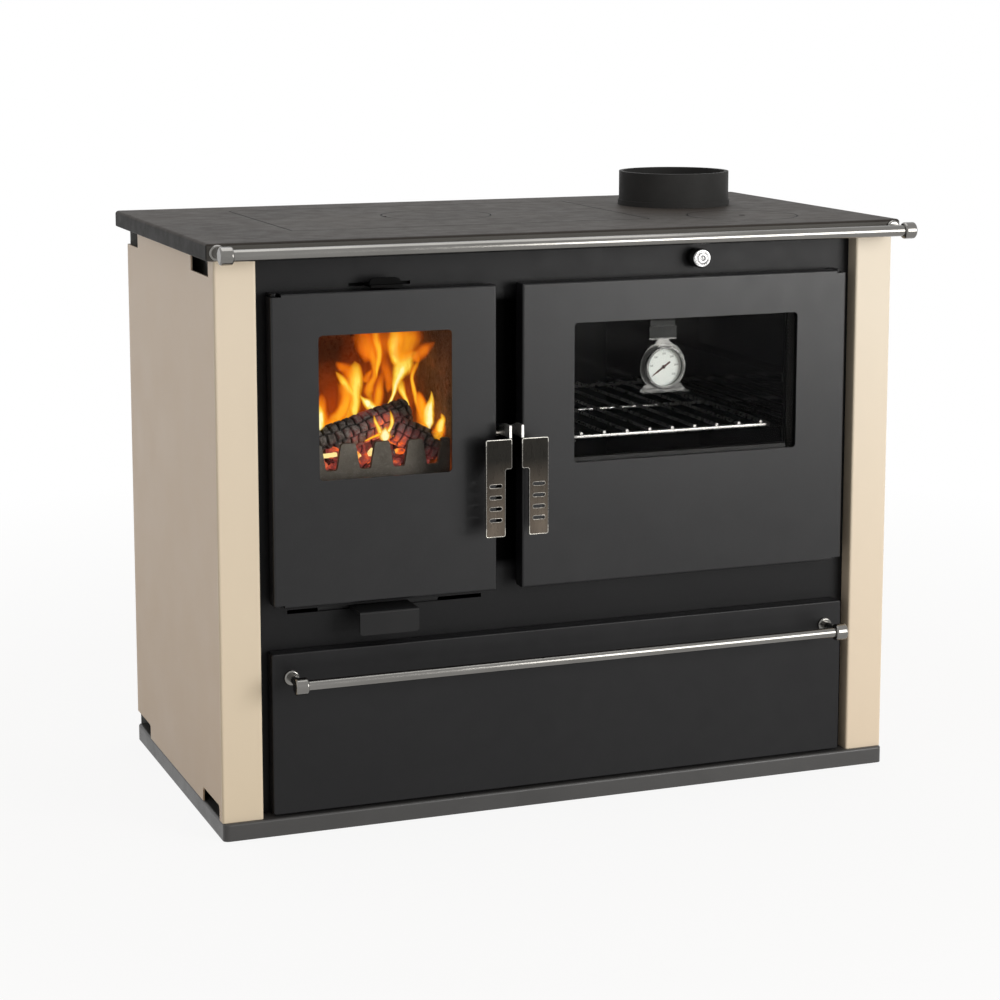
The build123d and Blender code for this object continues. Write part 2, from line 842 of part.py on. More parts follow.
def latch_pivot(edge_x, outward, reach):
    # Riveted pivot pin in the side return of a door, with a flat head inside
    with BuildPart() as pivot:
        pin_start = edge_x - outward * door_sheet
        pin_end = edge_x + outward * reach
        with BuildSketch(Plane.YZ.offset(min(pin_start, pin_end))):
            with Locations((pivot_y, handle_pivot_z)):
                Circle(pivot_radius)
        extrude(amount=abs(pin_end - pin_start))
        head_start = pin_start - outward * pivot_head
        with BuildSketch(Plane.YZ.offset(min(pin_start, head_start))):
            with Locations((pivot_y, handle_pivot_z)):
                Circle(pivot_head_radius)
        extrude(amount=pivot_head)
    return pivot.part


def door_handle(grip_left, grip_right, arm_edge, arm_outward):
    # Bent plate: slotted grip, wide shoulder over the gap, and an arm back to the pivot and latch
    plate_rear_y = door_front - handle_standoff
    plate_front_y = plate_rear_y - handle_sheet
    shoulder_low = handle_top_z - handle_shoulder
    arm_low_x = min(arm_edge, arm_edge - arm_outward * handle_sheet)
    with BuildPart() as handle:
        with BuildSketch(front_plane(plate_rear_y)) as outline:
            patch(grip_left, grip_right, handle_low_z, handle_top_z)
            patch(
                min(grip_left, arm_edge), max(grip_right, arm_edge), shoulder_low, handle_top_z
            )
            fillet(outline.vertices(), radius=handle_corner)
            slot_x = (grip_left + grip_right) / 2
            for slot_index in range(slot_count):
                slot_z = handle_top_z - slot_top - slot_index * slot_pitch
                with Locations((slot_x, slot_z)):
                    SlotOverall(slot_length, slot_height, mode=Mode.SUBTRACT)
        extrude(amount=handle_sheet)
        with BuildSketch(Plane.YZ.offset(arm_low_x)):
            plate_mid_y = plate_rear_y - handle_sheet / 2
            Polygon(
                (plate_mid_y, shoulder_low + handle_corner),
                (plate_mid_y, handle_pivot_z + arm_rise),
                (pivot_y - arm_neck, handle_pivot_z + arm_rise),
                (pivot_y, handle_pivot_z + arm_lobe),
                (pivot_y, handle_pivot_z - arm_lobe),
                align=None,
            )
            with Locations((pivot_y, handle_pivot_z)):
                Circle(arm_lobe)
            patch(
                pivot_y, facade_front - latch_rear_gap,
                handle_pivot_z - latch_drop - latch_half_height,
                handle_pivot_z - latch_drop + latch_half_height,
            )
            with Locations((pivot_y, handle_pivot_z)):
                Circle(pivot_radius + pin_clearance, mode=Mode.SUBTRACT)
        extrude(amount=handle_sheet)
    return handle.part


# Handle levels shared by both doors
handle_low_z = door_low + handle_low
handle_top_z = handle_low_z + handle_height
handle_pivot_z = handle_top_z + pivot_rise

# Firebox door
firebox_mouth_low_z = door_low + firebox_mouth_low
firebox_mouth_top_z = door_top - firebox_mouth_top
with BuildPart() as firebox_door_shell:
    add(door_shell(firebox_door_left, firebox_door_right, firebox_window_margin, True))
firebox_door_shell.part.label = "firebox_door_shell"
export_step(firebox_door_shell.part, "parts/firebox_door_shell.step")

with BuildPart() as firebox_door_frame:
    add(door_frame(firebox_door_left, firebox_door_right, firebox_window_margin, True))
firebox_door_frame.part.label = "firebox_door_frame"
export_step(firebox_door_frame.part, "parts/firebox_door_frame.step")

with BuildPart() as firebox_glass:
    add(door_glass(firebox_door_left, firebox_door_right, firebox_window_margin))
firebox_glass.part.label = "firebox_glass"
export_step(firebox_glass.part, "parts/firebox_glass.step")

with BuildPart() as firebox_glass_clips:
    add(glass_clips(firebox_door_left, firebox_door_right, firebox_window_margin))
firebox_glass_clips.part.label = "firebox_glass_clips"
export_step(firebox_glass_clips.part, "parts/firebox_glass_clips.step")

with BuildPart() as firebox_door_gasket:
    add(
        door_gasket(
            firebox_mouth_left, firebox_mouth_right, firebox_mouth_low_z, firebox_mouth_top_z
        )
    )
firebox_door_gasket.part.label = "firebox_door_gasket"
export_step(firebox_door_gasket.part, "parts/firebox_door_gasket.step")

firebox_arm_edge = firebox_door_right + firebox_shoulder_lap
with BuildPart() as firebox_latch_pivot:
    add(latch_pivot(firebox_door_right, 1, firebox_shoulder_lap))
firebox_latch_pivot.part.label = "firebox_latch_pivot"
export_step(firebox_latch_pivot.part, "parts/firebox_latch_pivot.step")

with BuildPart() as firebox_handle:
    add(door_handle(firebox_door_right - grip_width, firebox_door_right, firebox_arm_edge, 1))
firebox_handle.part.label = "firebox_handle"
export_step(firebox_handle.part, "parts/firebox_handle.step")

# Oven door
with BuildPart() as oven_door_shell:
    add(door_shell(oven_door_left, oven_door_right, oven_window_margin, False))
oven_door_shell.part.label = "oven_door_shell"
export_step(oven_door_shell.part, "parts/oven_door_shell.step")

with BuildPart() as oven_door_frame:
    add(door_frame(oven_door_left, oven_door_right, oven_window_margin, False))
oven_door_frame.part.label = "oven_door_frame"
export_step(oven_door_frame.part, "parts/oven_door_frame.step")

with BuildPart() as oven_glass:
    add(door_glass(oven_door_left, oven_door_right, oven_window_margin))
oven_glass.part.label = "oven_glass"
export_step(oven_glass.part, "parts/oven_glass.step")

with BuildPart() as oven_glass_clips:
    add(glass_clips(oven_door_left, oven_door_right, oven_window_margin))
    # The lower clips share one sill strip with a bevelled top edge, seen through the glass
    sill_front = door_front + door_sheet + glass_thickness
    sill_left = oven_door_left + oven_window_margin - clip_lap
    sill_right = oven_door_right - oven_window_margin - sill_end_gap
    sill_foot = window_low - glass_lap + clip_lap / 2
    with BuildSketch(Plane.YZ.offset(sill_left)):
        Polygon(
            (sill_front, sill_foot),
            (sill_front, window_low + sill_rise - sill_chamfer),
            (sill_front + sill_chamfer, window_low + sill_rise),
            (sill_front + sill_thickness, window_low + sill_rise),
            (sill_front + sill_thickness, sill_foot),
            align=None,
        )
    extrude(amount=sill_right - sill_left)
oven_glass_clips.part.label = "oven_glass_clips"
export_step(oven_glass_clips.part, "parts/oven_glass_clips.step")

with BuildPart() as oven_door_gasket:
    add(door_gasket(oven_left, oven_right, oven_low, oven_top))
oven_door_gasket.part.label = "oven_door_gasket"
export_step(oven_door_gasket.part, "parts/oven_door_gasket.step")

oven_arm_edge = oven_door_left - oven_shoulder_lap
with BuildPart() as oven_latch_pivot:
    add(latch_pivot(oven_door_left, -1, oven_shoulder_lap))
oven_latch_pivot.part.label = "oven_latch_pivot"
export_step(oven_latch_pivot.part, "parts/oven_latch_pivot.step")

oven_grip_left = oven_door_left - oven_grip_inset
with BuildPart() as oven_handle:
    add(door_handle(oven_grip_left, oven_grip_left + grip_width, oven_arm_edge, -1))
oven_handle.part.label = "oven_handle"
export_step(oven_handle.part, "parts/oven_handle.step")

# Hinge lugs: four tongues from the facade, each with a pin into a door's barrel
with BuildPart() as door_hinge_lugs:
    pin_y = door_front + pin_from_front
    lug_pins = (
        hinge_pin_x(firebox_door_left, firebox_door_right, True),
        hinge_pin_x(oven_door_left, oven_door_right, False),
    )
    for pin_x in lug_pins:
        for lug_low, pin_low in (
            (door_low, door_low + lug_thickness),
            (door_top - lug_thickness, door_top - lug_thickness - pin_length),
        ):
            with BuildSketch(Plane.XY.offset(lug_low)):
                with Locations((pin_x, pin_y)):
                    Circle(lug_half_width)
                patch(pin_x - lug_half_width, pin_x + lug_half_width, pin_y, facade_front)
            extrude(amount=lug_thickness)
            with BuildSketch(Plane.XY.offset(pin_low)):
                with Locations((pin_x, pin_y)):
                    Circle(pin_radius)
            extrude(amount=pin_length)
door_hinge_lugs.part.label = "door_hinge_lugs"
export_step(door_hinge_lugs.part, "parts/door_hinge_lugs.step")

# Latch keeper: a block between the two arms with a stud over each latch tail
with BuildPart() as latch_keeper:
    stud_z = handle_pivot_z - latch_drop + latch_half_height + stud_gap + stud_radius
    block(
        firebox_arm_edge + keeper_gap, oven_arm_edge - keeper_gap,
        facade_front - keeper_depth, facade_front,
        stud_z - keeper_half_height, stud_z + keeper_half_height,
    )
    fillet(latch_keeper.edges().filter_by(Axis.X).group_by(Axis.Y)[0], radius=stud_radius)
    stud_left = firebox_arm_edge - handle_sheet
    with BuildSketch(Plane.YZ.offset(stud_left)):
        with Locations((stud_y, stud_z)):
            Circle(stud_radius)
    extrude(amount=oven_arm_edge + handle_sheet - stud_left)
latch_keeper.part.label = "latch_keeper"
export_step(latch_keeper.part, "parts/latch_keeper.step")

# Firebox casing: three walls on the casing floor; smoke leaves over the lower right wall
with BuildPart() as firebox_casing:
    with BuildSketch(Plane.XY.offset(floor_top)):
        patch(firebox_left, firebox_right, facade_back, shell_rear_inside)
        patch(
            hearth_left, hearth_right, facade_back, shell_rear_inside - firebox_casing_sheet,
            mode=Mode.SUBTRACT,
        )
    extrude(amount=cooktop_under - floor_top)
    block(
        hearth_right - 1, firebox_right + 1, facade_back - 1, shell_rear_inside + 1,
        cooktop_under - smoke_gap, cooktop_under + 1, mode=Mode.SUBTRACT,
    )
firebox_casing.part.label = "firebox_casing"
export_step(firebox_casing.part, "parts/firebox_casing.step")

# Firebox base: the cast shelf that the bricks stand on, with a stepped seat for the grate
hearth_rear = shell_rear_inside - firebox_casing_sheet
fire_left = hearth_left + brick_thickness
fire_right = hearth_right - brick_thickness
fire_rear = hearth_rear - brick_thickness
grate_left = fire_left + grate_rim
grate_right = fire_right - grate_rim
grate_front = facade_back + 2 * brick_thickness
grate_rear = fire_rear - grate_rim
with BuildPart() as firebox_base:
    block(hearth_left, hearth_right, facade_back, hearth_rear, base_low, base_top)
    block(
        grate_left, grate_right, grate_front, grate_rear,
        base_top - grate_thickness, base_top + 1, mode=Mode.SUBTRACT,
    )
    block(
        grate_left + grate_lap, grate_right - grate_lap,
        grate_front + grate_lap, grate_rear - grate_lap,
        base_low - 1, base_top, mode=Mode.SUBTRACT,
    )
firebox_base.part.label = "firebox_base"
export_step(firebox_base.part, "parts/firebox_base.step")

# Fire bricks: left, right and rear, standing on the base
brick_top = base_top + brick_height
for brick_name, brick_box in (
    ("left", (hearth_left, fire_left, facade_back, hearth_rear)),
    ("right", (fire_right, hearth_right, facade_back, hearth_rear)),
    ("rear", (fire_left, fire_right, fire_rear, hearth_rear)),
):
    with BuildPart() as fire_brick:
        block(*brick_box, base_top, brick_top)
        chamfer(fire_brick.edges().group_by(Axis.Z)[-1], length=brick_edge)
    fire_brick.part.label = f"fire_brick_{brick_name}"
    export_step(fire_brick.part, f"parts/fire_brick_{brick_name}.step")

# Grate: cast bars in a rim, dropped into the base
with BuildPart() as grate:
    bar_left = grate_left + plate_gap
    bar_right = grate_right - plate_gap
    bar_front = grate_front + plate_gap
    bar_rear = grate_rear - plate_gap
    block(bar_left, bar_right, bar_front, bar_rear, base_top - grate_thickness, base_top)
    slot_rows = int((bar_rear - bar_front - 2 * grate_rim) / grate_slot_pitch)
    with BuildSketch(Plane.XY.offset(base_top)):
        with Locations(((bar_left + bar_right) / 2, (bar_front + bar_rear) / 2)):
            with GridLocations(1, grate_slot_pitch, 1, slot_rows):
                SlotOverall(bar_right - bar_left - 2 * grate_rim, grate_slot_width)
    extrude(amount=-grate_thickness, mode=Mode.SUBTRACT)
grate.part.label = "grate"
export_step(grate.part, "parts/grate.step")

# Log retainer: a low cast fence across the front of the fire
with BuildPart() as log_retainer:
    retainer_y = facade_back + retainer_from_front
    retainer_top = base_top + retainer_height
    with BuildSketch(front_plane(retainer_y + retainer_thickness)) as retainer_outline:
        patch(fire_left + plate_gap, fire_right - plate_gap, base_top, retainer_top)
        with Locations(((fire_left + fire_right) / 2 + retainer_slot_shift, retainer_top)):
            with GridLocations(retainer_slot_pitch, 1, retainer_slot_count, 1):
                Polygon(
                    (-retainer_slot_top / 2, 0),
                    (-retainer_slot_foot / 2, -retainer_slot_depth),
                    (retainer_slot_foot / 2, -retainer_slot_depth),
                    (retainer_slot_top / 2, 0),
                    align=None, mode=Mode.SUBTRACT,
                )
        upper_corners = retainer_outline.vertices().filter_by_position(
            Axis.Y, base_top + 1, retainer_top + 1
        )
        fillet(upper_corners, radius=retainer_corner)
    extrude(amount=retainer_thickness)
log_retainer.part.label = "log_retainer"
export_step(log_retainer.part, "parts/log_retainer.step")

# Logs: three split logs front to back on the grate, two across them
with BuildPart() as fuel_logs:
    flat_of_log = log_radius * hexagon_flat
    flat_of_cross_log = cross_log_radius * hexagon_flat
    log_start = retainer_y + retainer_thickness + log_from_retainer
    log_z = base_top + flat_of_log + fit_gap
    cross_z = log_z + flat_of_log + fit_gap + flat_of_cross_log
    log_end = fire_rear - log_rear_gap
    with BuildSketch(front_plane(log_end)):
        with Locations(((fire_left + fire_right) / 2, log_z)):
            with GridLocations((fire_right - fire_left) / 3, 1, 3, 1):
                RegularPolygon(log_radius, 6)
    extrude(amount=log_end - log_start)
    with BuildSketch(Plane.YZ.offset((fire_left + fire_right - cross_log_length) / 2)):
        for cross_index in range(2):
            with Locations((log_start + cross_log_start + cross_index * cross_log_pitch, cross_z)):
                RegularPolygon(cross_log_radius, 6)
    extrude(amount=cross_log_length)
fuel_logs.part.label = "fuel_logs"
export_step(fuel_logs.part, "parts/fuel_logs.step")

# Ash pan under the grate
with BuildPart() as ash_pan:
    pan_left = firebox_mouth_left + ash_pan_side_gap
    pan_right = firebox_mouth_right - ash_pan_side_gap
    pan_front = facade_back + ash_pan_front_gap
    pan_rear = hearth_rear - ash_pan_rear_gap
    pan_top = floor_top + ash_pan_height
    block(pan_left, pan_right, pan_front, pan_rear, floor_top, pan_top)
    block(
        pan_left + ash_pan_sheet, pan_right - ash_pan_sheet,
        pan_front + ash_pan_sheet, pan_rear - ash_pan_sheet,
        floor_top + ash_pan_sheet, pan_top + 1, mode=Mode.SUBTRACT,
    )
    block(
        pan_left, pan_right, pan_front - ash_pan_lip, pan_front,
        pan_top - ash_pan_sheet, pan_top,
    )
ash_pan.part.label = "ash_pan"
export_step(ash_pan.part, "parts/ash_pan.step")

# Oven box: five walls, open at the front
with BuildPart() as oven_box:
    block(
        oven_left - oven_sheet, oven_right + oven_sheet, facade_back, oven_rear + oven_sheet,
        oven_low - oven_sheet, oven_top + oven_sheet,
    )
    block(
        oven_left, oven_right, facade_back - 1, oven_rear, oven_low, oven_top, mode=Mode.SUBTRACT
    )
oven_box.part.label = "oven_box"
export_step(oven_box.part, "parts/oven_box.step")

# Oven feet: two bars that carry the oven box on the casing floor
with BuildPart() as oven_feet:
    for foot_x in (oven_left + ledge_width, oven_right - ledge_width):
        block(
            foot_x - ledge_width / 2, foot_x + ledge_width / 2, facade_back + ledge_width,
            oven_rear - ledge_width, floor_top, oven_low - oven_sheet,
        )
oven_feet.part.label = "oven_feet"
export_step(oven_feet.part, "parts/oven_feet.step")

# Rack ledges: three levels of angles on each oven wall
ledge_front = facade_back + rack_end_gap / 2
ledge_rear = oven_rear - rack_end_gap / 2
rack_z = oven_low + rack_height
with BuildPart() as oven_ledges:
    for level in (-1, 0, 1):
        ledge_top = rack_z + level * ledge_pitch
        for wall, inward in ((oven_left, 1), (oven_right, -1)):
            leg_ends = sorted((wall, wall + inward * ledge_sheet))
            shelf_ends = sorted((wall, wall + inward * ledge_width))
            block(
                leg_ends[0], leg_ends[1], ledge_front, ledge_rear,
                ledge_top - ledge_leg, ledge_top,
            )
            block(
                shelf_ends[0], shelf_ends[1], ledge_front, ledge_rear,
                ledge_top - ledge_sheet, ledge_top,
            )
oven_ledges.part.label = "oven_ledges"
export_step(oven_ledges.part, "parts/oven_ledges.step")

# Wire rack on the middle ledges
with BuildPart() as oven_rack:
    rack_left = oven_left + rack_side_gap + rack_wire
    rack_right = oven_right - rack_side_gap - rack_wire
    rack_front = facade_back + rack_end_gap + rack_wire
    rack_rear = oven_rear - rack_end_gap - rack_wire
    frame_z = rack_z + rack_wire + fit_gap
    with BuildSketch(Plane.XY.offset(frame_z - rack_wire)):
        patch(
            rack_left - rack_wire, rack_right + rack_wire, rack_front - rack_wire,
            rack_rear + rack_wire, 4 * rack_wire,
        )
        patch(
            rack_left + rack_wire, rack_right - rack_wire, rack_front + rack_wire,
            rack_rear - rack_wire, 2 * rack_wire, mode=Mode.SUBTRACT,
        )
    extrude(amount=2 * rack_wire)
    fillet(oven_rack.edges().group_by(Axis.Z)[-1], radius=rack_wire_edge)
    fillet(oven_rack.edges().group_by(Axis.Z)[0], radius=rack_wire_edge)
    rod_z = frame_z + rack_wire + rack_rod - rack_weld_depth
    first_rod_x = (rack_left + rack_right - (rack_rod_count - 1) * rack_rod_pitch) / 2
    with BuildSketch(front_plane(rack_rear + rack_weld)):
        for rod_index in range(rack_rod_count):
            with Locations((first_rod_x + rod_index * rack_rod_pitch, rod_z)):
                Circle(rack_rod)
    extrude(amount=rack_rear - rack_front + 2 * rack_weld)
    with BuildSketch(Plane.YZ.offset(rack_left)):
        with Locations(((rack_front + rack_rear) / 2, frame_z)):
            Circle(rack_wire - fit_gap)
    extrude(amount=rack_right - rack_left)
oven_rack.part.label = "oven_rack"
export_step(oven_rack.part, "parts/oven_rack.step")

# Oven thermometer: a case on a back plate, hung from the oven roof
gauge_x = (oven_left + oven_right) / 2 - gauge_left
gauge_z = oven_top - gauge_drop
gauge_front = facade_back + gauge_behind
gauge_rear = gauge_front + gauge_depth
with BuildPart() as thermometer_case:
    gauge_low = gauge_z - gauge_plate
    tab_low = gauge_z + gauge_plate + gauge_neck_height
    with BuildSketch(front_plane(gauge_rear + gauge_wall)):
        with Locations((gauge_x, gauge_z)):
            Circle(gauge_plate)
            Polygon(
                (-gauge_foot_width / 2, -gauge_plate),
                (gauge_foot_width / 2, -gauge_plate),
                (gauge_foot_waist / 2, gauge_foot_height - gauge_plate),
                (-gauge_foot_waist / 2, gauge_foot_height - gauge_plate),
                align=None,
            )
            Polygon(
                (-gauge_shoulder / 2, gauge_plate - gauge_shoulder_drop),
                (gauge_shoulder / 2, gauge_plate - gauge_shoulder_drop),
                (gauge_neck / 2, gauge_plate + gauge_neck_height + 1),
                (-gauge_neck / 2, gauge_plate + gauge_neck_height + 1),
                align=None,
            )
        patch(
            gauge_x - gauge_tab / 2, gauge_x + gauge_tab / 2,
            tab_low, tab_low + gauge_tab_height,
        )
    extrude(amount=gauge_wall)
    with BuildSketch(front_plane(gauge_rear)):
        with Locations((gauge_x, gauge_z)):
            Circle(gauge_radius)
    extrude(amount=gauge_depth)
    case_rim = thermometer_case.edges().group_by(Axis.Y)[0]
    fillet(case_rim, radius=gauge_wall)
    with BuildSketch(front_plane(gauge_rear - gauge_wall)):
        with Locations((gauge_x, gauge_z)):
            Circle(gauge_face + gauge_wall)
    extrude(amount=gauge_depth - gauge_wall, mode=Mode.SUBTRACT)
    with BuildSketch(front_plane(gauge_rear - gauge_wall)):
        with Locations((gauge_x, gauge_z)):
            Circle(gauge_pivot)
    extrude(amount=gauge_depth / 2)
    block(
        gauge_x - gauge_foot_width / 2, gauge_x + gauge_foot_width / 2,
        gauge_front, gauge_rear + gauge_wall, gauge_low, gauge_low + gauge_wall,
    )
thermometer_case.part.label = "thermometer_case"
export_step(thermometer_case.part, "parts/thermometer_case.step")

dial_front = gauge_rear - 2 * gauge_wall
with BuildPart() as thermometer_dial:
    with BuildSketch(front_plane(gauge_rear - gauge_wall)):
        with Locations((gauge_x, gauge_z)):
            Circle(gauge_face + gauge_wall - pin_clearance)
            Circle(gauge_pivot + pin_clearance, mode=Mode.SUBTRACT)
    extrude(amount=gauge_wall)
thermometer_dial.part.label = "thermometer_dial"
export_step(thermometer_dial.part, "parts/thermometer_dial.step")

pointer_rear = dial_front - fit_gap
with BuildPart() as thermometer_pointer:
    with BuildSketch(front_plane(pointer_rear)):
        with Locations((gauge_x, gauge_z)):
            Polygon(
                (-pointer_tail, -pointer_half), (-pointer_tail, pointer_half),
                (pointer_length / 2, pointer_half), (pointer_length, 0),
                (pointer_length / 2, -pointer_half),
                rotation=pointer_angle, align=None,
            )
            Circle(pointer_hub)
            Circle(gauge_pivot + pin_clearance, mode=Mode.SUBTRACT)
    extrude(amount=pointer_sheet)
thermometer_pointer.part.label = "thermometer_pointer"
export_step(thermometer_pointer.part, "parts/thermometer_pointer.step")

with BuildPart() as thermometer_lens:
    with BuildSketch(front_plane(gauge_front + gauge_wall + lens_thickness)):
        with Locations((gauge_x, gauge_z)):
            Circle(gauge_face + gauge_wall - pin_clearance)
    extrude(amount=lens_thickness)
thermometer_lens.part.label = "thermometer_lens"
export_step(thermometer_lens.part, "parts/thermometer_lens.step")

with BuildPart() as thermometer_hook:
    hook_low = tab_low + gauge_tab_height / 2
    hook_y = gauge_rear + gauge_wall
    block(
        gauge_x - gauge_hook_width / 2, gauge_x + gauge_hook_width / 2,
        hook_y, hook_y + gauge_wall, hook_low, oven_top,
    )
    block(
        gauge_x - gauge_hook_width / 2, gauge_x + gauge_hook_width / 2,
        hook_y, hook_y + gauge_depth, oven_top - gauge_wall, oven_top,
    )
thermometer_hook.part.label = "thermometer_hook"
export_step(thermometer_hook.part, "parts/thermometer_hook.step")

# Primary air slider: a tab that hooks out of the slot under the firebox door
slider_front = facade_back + guide_gap
slider_rear = slider_front + slider_sheet
with BuildPart() as primary_air_slider:
    tab_front = facade_front - primary_tab_reach
    plate_half = primary_tab_width / 2 + primary_travel
    primary_mid = (primary_neck_low + primary_neck_top) / 2
    block(
        primary_x - primary_tab_width / 2, primary_x + primary_tab_width / 2,
        tab_front, slider_front, primary_neck_low, primary_neck_top,
    )
    block(
        primary_x - primary_tab_width / 2, primary_x + primary_tab_width / 2,
        tab_front, tab_front + slider_sheet, primary_neck_top - primary_tab_drop, primary_neck_top,
    )
    fillet(
        primary_air_slider.edges().filter_by(Axis.X).group_by(Axis.Z)[-1].sort_by(Axis.Y)[0],
        radius=slider_bend,
    )
    fillet(
        primary_air_slider.edges().filter_by(Axis.Y).group_by(Axis.Z)[0], radius=slider_corner
    )
    block(
        primary_x - plate_half, primary_x + plate_half, slider_front, slider_rear,
        primary_mid - slider_plate_half, primary_mid + slider_plate_half,
    )
primary_air_slider.part.label = "primary_air_slider"
export_step(primary_air_slider.part, "parts/primary_air_slider.step")

# Secondary air slider: an upright tab above the firebox door with a small lip
with BuildPart() as secondary_air_slider:
    upright_front = facade_front - secondary_tab_reach
    secondary_mid = (secondary_neck_low + secondary_neck_top) / 2
    with BuildSketch(front_plane(upright_front + slider_sheet)) as upright:
        patch(
            secondary_x - secondary_tab_width / 2, secondary_x + secondary_tab_width / 2,
            secondary_neck_low, secondary_neck_low + secondary_tab_rise,
        )
        fillet(upright.vertices().group_by(Axis.Y)[-1], radius=secondary_corner)
    extrude(amount=slider_sheet)
    block(
        secondary_x - secondary_tab_width / 2, secondary_x + secondary_tab_width / 2,
        upright_front - secondary_lip, slider_front, secondary_neck_low, secondary_neck_top,
    )
    block(
        secondary_x - secondary_half, secondary_x + secondary_half, slider_front, slider_rear,
        secondary_mid - slider_plate_half, secondary_mid + slider_plate_half,
    )
secondary_air_slider.part.label = "secondary_air_slider"
export_step(secondary_air_slider.part, "parts/secondary_air_slider.step")


def slider_guides(x_low, x_high, mid_z):
    # Two L-shaped strips behind the facade that hold a slider's plate
    with BuildPart() as guides:
        for outward in (-1, 1):
            edge = mid_z + outward * (slider_plate_half + guide_gap)
            web = sorted((edge, edge + outward * guide_sheet))
            lip = sorted((edge + outward * guide_sheet, edge - outward * 2 * guide_sheet))
            lip_front = slider_rear + guide_gap
            block(x_low, x_high, facade_back, lip_front + guide_sheet, web[0], web[1])
            block(x_low, x_high, lip_front, lip_front + guide_sheet, lip[0], lip[1])
    return guides.part


with BuildPart() as primary_air_guides:
    add(
        slider_guides(
            primary_x - primary_tab_width / 2 - 2 * primary_travel,
            primary_x + primary_tab_width / 2 + 2 * primary_travel,
            primary_mid,
        )
    )
primary_air_guides.part.label = "primary_air_guides"
export_step(primary_air_guides.part, "parts/primary_air_guides.step")

with BuildPart() as secondary_air_guides:
    add(
        slider_guides(
            secondary_x - secondary_half - secondary_travel,
            secondary_x + secondary_half + secondary_travel,
            secondary_mid,
        )
    )
secondary_air_guides.part.label = "secondary_air_guides"
export_step(secondary_air_guides.part, "parts/secondary_air_guides.step")

# Smoke baffle: an upright sheet over the oven with a window that the damper plate covers
plate_rear_y = shell_rear_inside - damper_plate_from_rear
plate_front_y = plate_rear_y - damper_plate_length
plate_top_z = damper_z + damper_plate_rise
plate_low_z = plate_top_z - damper_plate_height
plate_right_x = damper_x + rod_radius
plate_left_x = plate_right_x - baffle_sheet
baffle_x = plate_right_x + guide_gap
with BuildPart() as smoke_baffle:
    block(
        baffle_x, baffle_x + baffle_sheet, facade_back, shell_rear_inside,
        oven_top + oven_sheet, cooktop_under,
    )
    block(
        baffle_x - 1, baffle_x + baffle_sheet + 1,
        plate_front_y + damper_window_margin, plate_rear_y - damper_window_margin,
        plate_low_z + damper_window_margin, plate_top_z - damper_window_margin,
        mode=Mode.SUBTRACT,
    )
    guide_right = plate_left_x - guide_gap
    guide_left = guide_right - guide_sheet
    guide_front = plate_front_y - damper_travel
    for edge, outward in ((plate_low_z - guide_gap, -1), (plate_top_z + guide_gap, 1)):
        web = sorted((edge, edge + outward * guide_sheet))
        lip = sorted((edge + outward * guide_sheet, edge - outward * guide_hook))
        block(guide_left, baffle_x, guide_front, plate_rear_y, web[0], web[1])
        block(guide_left, guide_right, guide_front, plate_rear_y, lip[0], lip[1])
smoke_baffle.part.label = "smoke_baffle"
export_step(smoke_baffle.part, "parts/smoke_baffle.step")

# Flue damper: a sliding plate on a long rod, pulled by the round knob on the facade
with BuildPart() as damper_slide:
    block(plate_left_x, plate_right_x, plate_front_y, plate_rear_y, plate_low_z, plate_top_z)
    rod_end = plate_front_y + 2 * rod_radius
    with BuildSketch(front_plane(rod_end)):
        with Locations((damper_x, damper_z)):
            Circle(rod_radius)
    extrude(amount=rod_end - facade_front + knob_neck)
damper_slide.part.label = "damper_slide"
export_step(damper_slide.part, "parts/damper_slide.step")

with BuildPart() as damper_knob:
    neck_end = facade_front - slot_clearance
    knob_back = facade_front - knob_neck
    with BuildSketch(front_plane(neck_end)):
        with Locations((damper_x, damper_z)):
            Circle(knob_neck_radius)
    extrude(amount=knob_neck + knob_thickness / 2)
    with BuildSketch(front_plane(knob_back)):
        with Locations((damper_x, damper_z)):
            Circle(knob_radius)
    extrude(amount=knob_thickness)
    fillet(damper_knob.edges().group_by(Axis.Y)[0], radius=knob_edge)
    with BuildSketch(front_plane(neck_end)):
        with Locations((damper_x, damper_z)):
            Circle(rod_radius)
    extrude(amount=knob_neck - slot_clearance, mode=Mode.SUBTRACT)
damper_knob.part.label = "damper_knob"
export_step(damper_knob.part, "parts/damper_knob.step")

# Drawer front: a black pan over the drawer's mouth
drawer_front_y = front_face - drawer_front_proud
with BuildPart() as drawer_front:
    block(
        -drawer_side, drawer_side, drawer_front_y, drawer_front_y + drawer_return,
        drawer_low, drawer_top,
    )
    fillet(drawer_front.edges().filter_by(Axis.Y), radius=drawer_corner)
    fillet(drawer_front.edges().group_by(Axis.Y)[0], radius=drawer_edge)
    block(
        door_sheet - drawer_side, drawer_side - door_sheet,
        drawer_front_y + door_sheet, drawer_front_y + drawer_return + 1,
        drawer_low + door_sheet, drawer_top - door_sheet, mode=Mode.SUBTRACT,
    )
drawer_front.part.label = "drawer_front"
export_step(drawer_front.part, "parts/drawer_front.step")

# Drawer box: an open tray behind the drawer front
box_side = drawer_mouth_side - drawer_box_gap
box_front = drawer_front_y + door_sheet
box_rear = shell_rear_inside - drawer_box_rear_gap
box_low = drawer_low + drawer_mouth_low + drawer_box_lift
box_top = box_low + drawer_box_height
with BuildPart() as drawer_box:
    block(-box_side, box_side, box_front, box_rear, box_low, box_top)
    block(
        drawer_box_sheet - box_side, box_side - drawer_box_sheet,
        box_front + drawer_box_sheet, box_rear - drawer_box_sheet,
        box_low + drawer_box_sheet, box_top + 1, mode=Mode.SUBTRACT,
    )
drawer_box.part.label = "drawer_box"
export_step(drawer_box.part, "parts/drawer_box.step")

